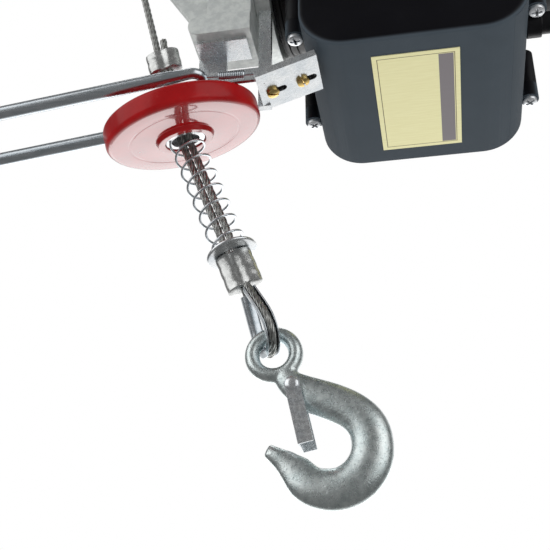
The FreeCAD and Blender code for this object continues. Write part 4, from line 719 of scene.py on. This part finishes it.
# Buffer spring: eight turns of round wire with the end turns drawn in
spring_turns, spring_radius, wire_radius = 8, 0.0086, 0.00065
first_turn, last_turn = SPRING_TOP + 0.00068, WASHER_AT - 0.00084
share = np.linspace(0.0, 1.0, spring_turns * 40 + 1)
drop = np.interp(share, [0.0, 0.05, 0.95, 1.0], [0.0, 0.02, 0.98, 1.0])
station = first_turn + drop * (last_turn - first_turn)
around = (2 * np.pi * spring_turns * share)[:, None]
spring_out = np.cos(around) * lower_side + np.sin(around) * front
spring_line = disc_at + station[:, None] * lower_down + spring_radius * spring_out
spring_wire = closed_tubes([tube_sections(spring_line, spring_out, wire_radius, 10)])
spring = make_piece("coil_spring", None, "zinc", *spring_wire, ["buffer_spring"], 60.0)
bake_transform(spring)

washer_outline = rounded_outline([(0.0, 0.0046), (0.0, 0.0130), (0.0016, 0.0130), (0.0016, 0.0046)],
                                 [0.0002, 0.0005, 0.0007, 0.0002], 4)
washer_surface = turned(washer_outline, on_lower(WASHER_AT, 0.0), lower_down, lower_side, 72)
make_piece("washer", "rope_end", "bright", *washer_surface, ["spring_washer"])


def pressed_sleeve(start, down, side, length, width, depth, dents):
    """Sleeve pressed round two ropes: the section is an ellipse with flatter flanks and a waist between its
    lobes, it shrinks at both ends, and each dent pulls the flanks in over a short stretch, by a bell curve of
    the distances along the sleeve and across it."""
    along = np.concatenate([[0.0, 0.0], np.linspace(0.0004, length - 0.0004, 40), [length, length]])
    shrink = np.concatenate([[0.55, 0.9], np.full(40, 1.0), [0.9, 0.55]])
    angle = np.linspace(0.0, 2 * np.pi, 72, endpoint=False)[None, :]
    flat = np.sign(np.cos(angle)) * np.abs(np.cos(angle)) ** 0.9 * width / 2.0
    deep = np.sign(np.sin(angle)) * np.abs(np.sin(angle)) ** 0.85 * depth / 2.0
    waist = 1.0 - 0.2 * np.exp(-(flat / (width * 0.12)) ** 2)
    press = np.ones((len(along), 72))
    for at, reach, amount, lobe in dents:
        away = ((along[:, None] - at) / reach) ** 2 + ((flat - lobe) / (width * 0.28)) ** 2
        press -= amount * np.exp(-away)
    third = np.cross(down, side)
    wobble = 1.0 + 0.012 * np.sin(along * 900.0)[:, None] * np.cos(angle * 2 + 0.6)
    grid = (start + along[:, None, None] * down + (flat * shrink[:, None] * wobble)[..., None] * side
            + (deep * waist * press * shrink[:, None])[..., None] * third)
    return closed_tubes([grid])


# Sleeves, their dents given as distance along, reach, depth as a share, and distance to one side
upper_dents = [(0.0035, 0.0018, 0.06, -0.004), (0.0100, 0.0020, 0.07, 0.004), (0.0070, 0.0030, 0.04, 0.0)]
upper_sleeve = pressed_sleeve(on_upper(SPLICE_HIGH, 0.0), upper_down, upper_side, SPLICE_HIGH - SPLICE_LOW,
                              0.0188, 0.0094, upper_dents)
make_piece("splice_sleeve", "rope_end", "ferrule", *upper_sleeve, ["upper_ferrule"], 50.0)
lower_dents = [(0.0050, 0.0024, 0.08, -0.004), (0.0105, 0.0022, 0.07, 0.004), (0.0160, 0.0024, 0.09, -0.003),
               (0.0170, 0.0018, 0.05, 0.005)]
lower_sleeve = pressed_sleeve(on_lower(SLEEVE_AT, 0.0), lower_down, lower_side, 0.0202,
                              0.0183, 0.0099, lower_dents)
make_piece("eye_sleeve", "rope_end", "ferrule", *lower_sleeve, ["lower_ferrule"], 50.0)


# Copies of the solids with their doubles merged, their flats joined and their edges broken
def merged_copy(node):
    """A node's mesh as one closed skin of flat faces."""
    mesh = nodes[node].data.copy()
    for name in ("custom_normal", "sharp_edge", "sharp_face"):
        if name in mesh.attributes:
            mesh.attributes.remove(mesh.attributes[name])
    work = bmesh.new()
    work.from_mesh(mesh)
    bmesh.ops.remove_doubles(work, verts=work.verts, dist=0.000002)
    bmesh.ops.dissolve_limit(work, angle_limit=math.radians(0.6), verts=work.verts, edges=work.edges)
    work.to_mesh(mesh)
    work.free()
    return mesh


def broken_edges(name, node, finish, width, segments=2):
    """A node's copy with its sharp edges rounded by a live Bevel."""
    body = nodes[node]["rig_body"]
    piece = finish_piece(name, body, finish, merged_copy(node), [node], 38.0)
    bevel = piece.modifiers.new("broken_edges", "BEVEL")
    bevel.limit_method = "ANGLE"
    bevel.angle_limit = math.radians(38.0)
    bevel.width = width
    bevel.segments = segments
    bevel.harden_normals = True
    return piece


def fuller_bowl(mesh):
    """Swell the hook round its bowl and draw its point out thin: in polar places round the bowl's centre, a
    point's distance from the centre line grows by a factor and the centre line moves by a shift, both read
    off by angle."""
    hook_turn = math.radians(28.0)
    place = np.zeros(len(mesh.vertices) * 3, np.float32)
    mesh.vertices.foreach_get("co", place)
    place = place.reshape(-1, 3).astype(float)
    across = np.array([math.cos(hook_turn), 0.0, math.sin(hook_turn)])
    down = np.array([math.sin(hook_turn), 0.0, -math.cos(hook_turn)])
    bowl = disc_at + lower_down * HOOK_RING_AT + down * BOWL_DROP
    x, z = (place - bowl) @ across, -((place - bowl) @ down)
    turn = np.degrees(np.arctan2(z, x))
    turn = np.where(turn > 100.0, turn - 360.0, turn)
    radius = np.hypot(x, z)
    marks = [-213.0, -204.0, -180.0, -154.0, -128.0, -102.0, -76.0, -50.0, -24.0]
    middle = np.interp(turn, marks, [0.0270, 0.0245, 0.0194, 0.0187, 0.0183, 0.0184, 0.0190, 0.0193, 0.0194])
    factor = np.interp(turn, marks, [0.62, 1.10, 1.34, 1.30, 1.20, 1.14, 1.10, 1.04, 1.0])
    shift = np.interp(turn, marks, [-0.0003, -0.0010, -0.0017, -0.0012, -0.0001, 0.0008, 0.0009, 0.0004, 0.0])
    inside = (turn < marks[-1]) & (radius > 0.004) & (radius < 0.036)
    grown = np.where(inside, middle + shift + (radius - middle) * factor, radius)
    scale = (grown / np.maximum(radius, 1e-6))[:, None]
    depth = np.where(inside, 1.0 + (factor - 1.0) * 0.7, 1.0)
    deeper = ((place - bowl)[:, 1] * depth)[:, None]
    place = bowl + (x[:, None] * across - z[:, None] * down) * scale + back * deeper
    mesh.vertices.foreach_set("co", place.astype(np.float32).ravel())
    mesh.update()


def forged_copy(name, node, finish, voxel, rounds):
    """The hook's copy drawn over by one even skin and smoothed, so that its joints flow together as in a
    forging, then swelled."""
    mesh = merged_copy(node)
    holder = bpy.data.objects.new(name, mesh)
    bpy.context.scene.collection.objects.link(holder)
    remesh = holder.modifiers.new("skin", "REMESH")
    remesh.mode = "VOXEL"
    remesh.voxel_size = voxel
    smooth = holder.modifiers.new("flow", "SMOOTH")
    smooth.factor = 0.5
    smooth.iterations = rounds
    reach = bpy.context.evaluated_depsgraph_get()
    final = bpy.data.meshes.new_from_object(holder.evaluated_get(reach))
    bpy.data.objects.remove(holder)
    fuller_bowl(final)
    return finish_piece(name, nodes[node]["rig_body"], finish, final, [node], 180.0)


forged_copy("forged_hook", "load_hook", "forged", 0.0006, 14)
broken_edges("latch_plate", "safety_latch", "bright", 0.0002)

# Latch rivet: a pin between two domed heads
rivet_low, rivet_high = (np.array(corner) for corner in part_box("latch_rivet"))
pin_radius, head_radius, head_rise = 0.0019, 0.0034, 0.0014
head_at = (rivet_high[1] - rivet_low[1]) / 2.0 - 0.0012
dome = np.radians(np.linspace(88.0, 0.0, 10))
near_head = np.stack([head_at + head_rise * np.sin(dome), head_radius * np.cos(dome)], -1)
pin = [(-head_at, pin_radius), (head_at, pin_radius)]
rivet_outline = np.concatenate([near_head * (-1, 1), pin, near_head[::-1]])
rivet_surface = turned(rivet_outline, (rivet_low + rivet_high) / 2.0, back, up, 48)
make_piece("rivet_pin", nodes["latch_rivet"]["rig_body"], "bright", *rivet_surface, ["latch_rivet"])

# Lever: a U of round rod, thin at its two stubs and thicker along its arms. Every corner of its path has a
# distance along the arms, one across them and a rounding; of the two stub ends only one point each is kept
droop = math.radians(6.65)
lever_along = np.array([math.cos(droop), 0.0, math.sin(droop)])
lever_up = np.array([-math.sin(droop), 0.0, math.cos(droop)])
lever_pivot = np.array([0.0571, -DRUM_REACH, -AXIS_DROP - PIVOT_DROP])
lever_reach, lever_half, stub_end = 0.140, 0.019, 0.0075
near_side = [(0.0, stub_end, 0.0001), (0.0, lever_half, 0.0052), (-lever_reach, lever_half, 0.006)]
far_side = [(along, -across, bend) for along, across, bend in reversed(near_side)]
rod_path = np.array(near_side + far_side)
rod_corners = lever_pivot + rod_path[:, :1] * lever_along + rod_path[:, 1:2] * front
steps = 9
rod_turns = rounded_outline(rod_corners, rod_path[:, 2], steps)[steps - 1:1 - steps]
rod_line, rod_at = evenly(rod_turns, 0.0015)
from_stub = np.minimum(rod_at, rod_at[-1] - rod_at)
rod_radius = np.interp(from_stub, [0.0, 0.016, 0.028], [0.003, 0.003, 0.0038])
rod_surface = closed_tubes([tube_sections(rod_line, lever_up, rod_radius, 28)])
make_piece("rod_lever", nodes["limit_lever"]["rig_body"], "zinc", *rod_surface, ["limit_lever"], 50.0)

# Pieces that keep the solid's shape: name, node, finish, width of the broken edge and steps across it
for name, node, finish, width, steps in (
        ("lever_ears", "lever_bracket", "bright", 0.0003, 2),
        ("tail_plate", "lever_tail", "zinc", 0.0003, 2),
        ("switch_box", "limit_switch", "satin", 0.0004, 2),
        ("case_casting", "gear_case", "cast", 0.0012, 3),
        ("case_flange", "case_cover", "cast", 0.0008, 2),
        ("end_casting", "drum_end_plate", "cast", 0.0010, 3),
        ("strap_near_plate", "hanging_strap_left", "black", 0.0010, 3),
        ("strap_near_case", "hanging_strap_right", "black", 0.0010, 3),
        ("strap_hexagons", "strap_bolts", "zinc", 0.0004, 2),
        ("rod_nuts", "tie_nuts", "zinc", 0.0004, 2),
        ("motor_shell", "motor_housing", "black", 0.0004, 2),
        ("rear_casting", "rear_shield", "black", 0.0008, 2),
        ("fan_cowl", "fan_cover", "black", 0.0005, 2),
        ("control_cover", "box_cover", "box", 0.0008, 3),
        ("control_body", "box_body", "satin", 0.0008, 3),
        ("gland_nut", "cable_gland", "satin", 0.0005, 2),
        ("drum_flanges", "rope_drum", "zinc", 0.0006, 2)):
    broken_edges(name, node, finish, width, steps)

# Two curved strips close the cover's lower rounded corners, where its hollow runs out through the wall
cover_low, cover_high = (np.array(corner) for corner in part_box("box_cover"))
half_width, corner_radius, strip_radii = 0.060, 0.025, (0.02503, 0.0235)
arc = np.radians(np.linspace(39.0, 71.0, 33))
outer, inner = (np.stack([radius * np.sin(arc), -radius * np.cos(arc)], -1) for radius in strip_radii)
section = np.concatenate([outer, inner[::-1]]) + (half_width - corner_radius, cover_low[2] + corner_radius)
strips = []
for side in (-1.0, 1.0):
    across = (cover_low[0] + cover_high[0]) / 2.0 + side * section[:, 0]
    ends = [np.full(len(section), end) for end in (cover_low[1] + 0.0025, cover_high[1] - 0.0025)]
    strips.append(np.stack([np.stack([across, end, section[:, 1]], -1) for end in ends]))
make_piece("cover_corners", "frame", "box", *closed_tubes(strips))


def recessed_head(centre, down, side, radius, height, crossed):
    """Screw head as a field of heights over a disc: a dome that falls with the square of the distance out,
    less a recess that is full near the middle line of a slot, or of either arm of a cross as far as the
    arms go."""
    out = np.concatenate([np.linspace(0.0, 0.92, 26)[1:], [0.97, 1.0, 1.0]])[:, None] * radius
    angle = np.linspace(0.0, 2 * np.pi, 96, endpoint=False)[None, :]
    across, along = out * np.cos(angle), out * np.sin(angle)
    dome = height * (1.0 - 0.3 * (out / radius) ** 2) + 0.0 * angle
    dome[-2:] = np.array([height * 0.55, 0.0])[:, None]
    wide = radius * (0.17 if crossed else 0.14)
    arm = np.abs(along)
    if crossed:
        arm = np.minimum(np.abs(across), np.abs(along))
        end = np.clip((radius * 0.70 - out) / (radius * 0.1), 0.0, 1.0)
    else:
        end = np.ones_like(arm)
    inside = np.clip((wide - arm) / (wide * 0.35), 0.0, 1.0) * end
    inside[-1] = 0.0
    top = dome - inside * height * 0.85
    return centre + top[..., None] * down + across[..., None] * side + along[..., None] * np.cross(down, side)


# Cross-head screws in the box cover's four lugs, each turned as it stopped
screw_radius, screw_height = 0.0042, 0.0027
low, high = (np.array(corner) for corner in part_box("box_screws"))
heads = []
for at_x in (low[0] + screw_radius, high[0] - screw_radius):
    for at_y in (low[1] + screw_radius, high[1] - screw_radius):
        turn = math.radians(31.0 + 700.0 * (at_x + at_y))
        side = right * math.cos(turn) + back * math.sin(turn)
        centre = np.array([at_x, at_y, high[2]])
        heads.append(recessed_head(centre, -up, side, screw_radius, screw_height, True))
make_piece("cover_screws", "frame", "screw", *closed_tubes(heads), ["box_screws"], 50.0)

# Slotted brass screws under the switch plate
lean = math.radians(18.0)
tongue_along = np.array([math.cos(lean), 0.0, math.sin(lean)])
tongue_up = np.array([-math.sin(lean), 0.0, math.cos(lean)])
first_screw = np.array([0.087, -DRUM_REACH - 0.0036, -0.135 - AXIS_DROP])
heads = []
for at, turn in ((0.007, 0.5), (0.024, 1.4)):
    side = tongue_along * math.cos(turn) + back * math.sin(turn)
    heads.append(recessed_head(first_screw + tongue_along * at, -tongue_up, side, 0.0034, 0.0024, False))
make_piece("slot_screws", "frame", "brass", *closed_tubes(heads), ["switch_screws"], 50.0)

# Finishes of the nodes that show as they are
bare = {
    "tie_rods": "machined", "stator_core": "core", "stator_winding": "copper", "brake_plate": "grey",
    "rotor_core": "core", "brake_disc": "machined", "cooling_fan": "white", "output_gear": "machined",
    "lay_shaft": "machined", "lay_gear": "machined", "rotor_shaft": "machined", "lay_bushes": "brass",
    "rotor_bearings": "machined", "drum_bearings": "machined", "drum_shaft": "machined", "rope_clamp": "zinc",
    "label_plate": "label", "capacitor": "white", "switch_button": "red", "lever_spring": "zinc",
}
for node, piece in nodes.items():
    finish = finishes[bare.get(node, "zinc")]
    piece.data.materials.clear()
    piece.data.materials.append(finish.material)

# Pale floor under the lowest reach of the hook
floor_mesh = bpy.data.meshes.new("floor")
reach, floor_height = 18.0, -1.7
corners = [(x * reach, y * reach, floor_height) for x, y in ((-1, -1), (1, -1), (1, 1), (-1, 1))]
floor_mesh.from_pydata(corners, [], [(0, 1, 2, 3)])
floor = bpy.data.objects.new("floor", floor_mesh)
bpy.context.scene.collection.objects.link(floor)
floor_finish = bpy.data.materials.new("floor_paper")
floor_finish.use_nodes = True
paper = floor_finish.node_tree.nodes["Principled BSDF"].inputs
paper["Base Color"].default_value = (0.86, 0.86, 0.86, 1.0)
paper["Roughness"].default_value = 1.0
paper["Specular IOR Level"].default_value = 0.0
floor_mesh.materials.append(floor_finish)
floor.visible_glossy = False

# World: white behind the object, softer as light, and darker towards the front for what metal mirrors
world = bpy.data.worlds.new("studio")
bpy.context.scene.world = world
world.use_nodes = True
tree = world.node_tree
tree.nodes.clear()
rays = tree.nodes.new("ShaderNodeLightPath")
place = tree.nodes.new("ShaderNodeTexCoord")
split = tree.nodes.new("ShaderNodeSeparateXYZ")
tree.links.new(place.outputs["Generated"], split.inputs[0])
fade = tree.nodes.new("ShaderNodeMapRange")
fade.interpolation_type = "SMOOTHSTEP"
for name, value in (("From Min", 0.52), ("From Max", 0.82), ("To Min", 0.16), ("To Max", 1.0)):
    fade.inputs[name].default_value = value
tree.links.new(split.outputs["Y"], fade.inputs["Value"])
shine = tree.nodes.new("ShaderNodeMix")
shine.inputs[2].default_value = 0.86
tree.links.new(rays.outputs["Is Glossy Ray"], shine.inputs[0])
tree.links.new(fade.outputs[0], shine.inputs[3])
seen = tree.nodes.new("ShaderNodeMath")
seen.operation = "MAXIMUM"
tree.links.new(rays.outputs["Is Camera Ray"], seen.inputs[0])
tree.links.new(rays.outputs["Is Transmission Ray"], seen.inputs[1])
level = tree.nodes.new("ShaderNodeMix")
level.inputs[3].default_value = 1.0
tree.links.new(seen.outputs[0], level.inputs[0])
tree.links.new(shine.outputs[0], level.inputs[2])
sky = tree.nodes.new("ShaderNodeBackground")
sky.inputs["Color"].default_value = (1.0, 1.0, 1.0, 1.0)
tree.links.new(level.outputs[0], sky.inputs["Strength"])
world_end = tree.nodes.new("ShaderNodeOutputWorld")
tree.links.new(sky.outputs[0], world_end.inputs[0])


def softbox(name, place, aim, width, height, power):
    """Rectangular lamp at a place, facing a point."""
    lamp = bpy.data.lights.new(name, "AREA")
    lamp.shape = "RECTANGLE"
    lamp.size = width
    lamp.size_y = height
    lamp.energy = power
    holder = bpy.data.objects.new(name, lamp)
    bpy.context.scene.collection.objects.link(holder)
    away = unit(np.array(place, float) - np.array(aim, float))
    level = unit(np.cross(up, away))
    rise = np.cross(away, level)
    holder.matrix_world = Matrix([[level[k], rise[k], away[k], place[k]] for k in range(3)] + [[0, 0, 0, 1]])
    return holder


lamp_aim = (0.09, 0.0, -0.22)
softbox("left_softbox", (-0.95, -0.75, 0.15), lamp_aim, 1.4, 1.4, 6.5)
softbox("right_softbox", (1.15, -0.75, -0.05), lamp_aim, 1.2, 1.4, 5.5)
softbox("top_softbox", (0.1, 0.3, 1.2), lamp_aim, 1.2, 0.8, 9.0)
gloss_panel = softbox("gloss_panel", (-0.05, 1.1, -0.45), (0.05, 0.0, -0.26), 1.5, 0.5, 3.2)
gloss_panel.visible_camera = False
gloss_panel.visible_diffuse = False

bpy.context.scene.view_settings.view_transform = "Standard"
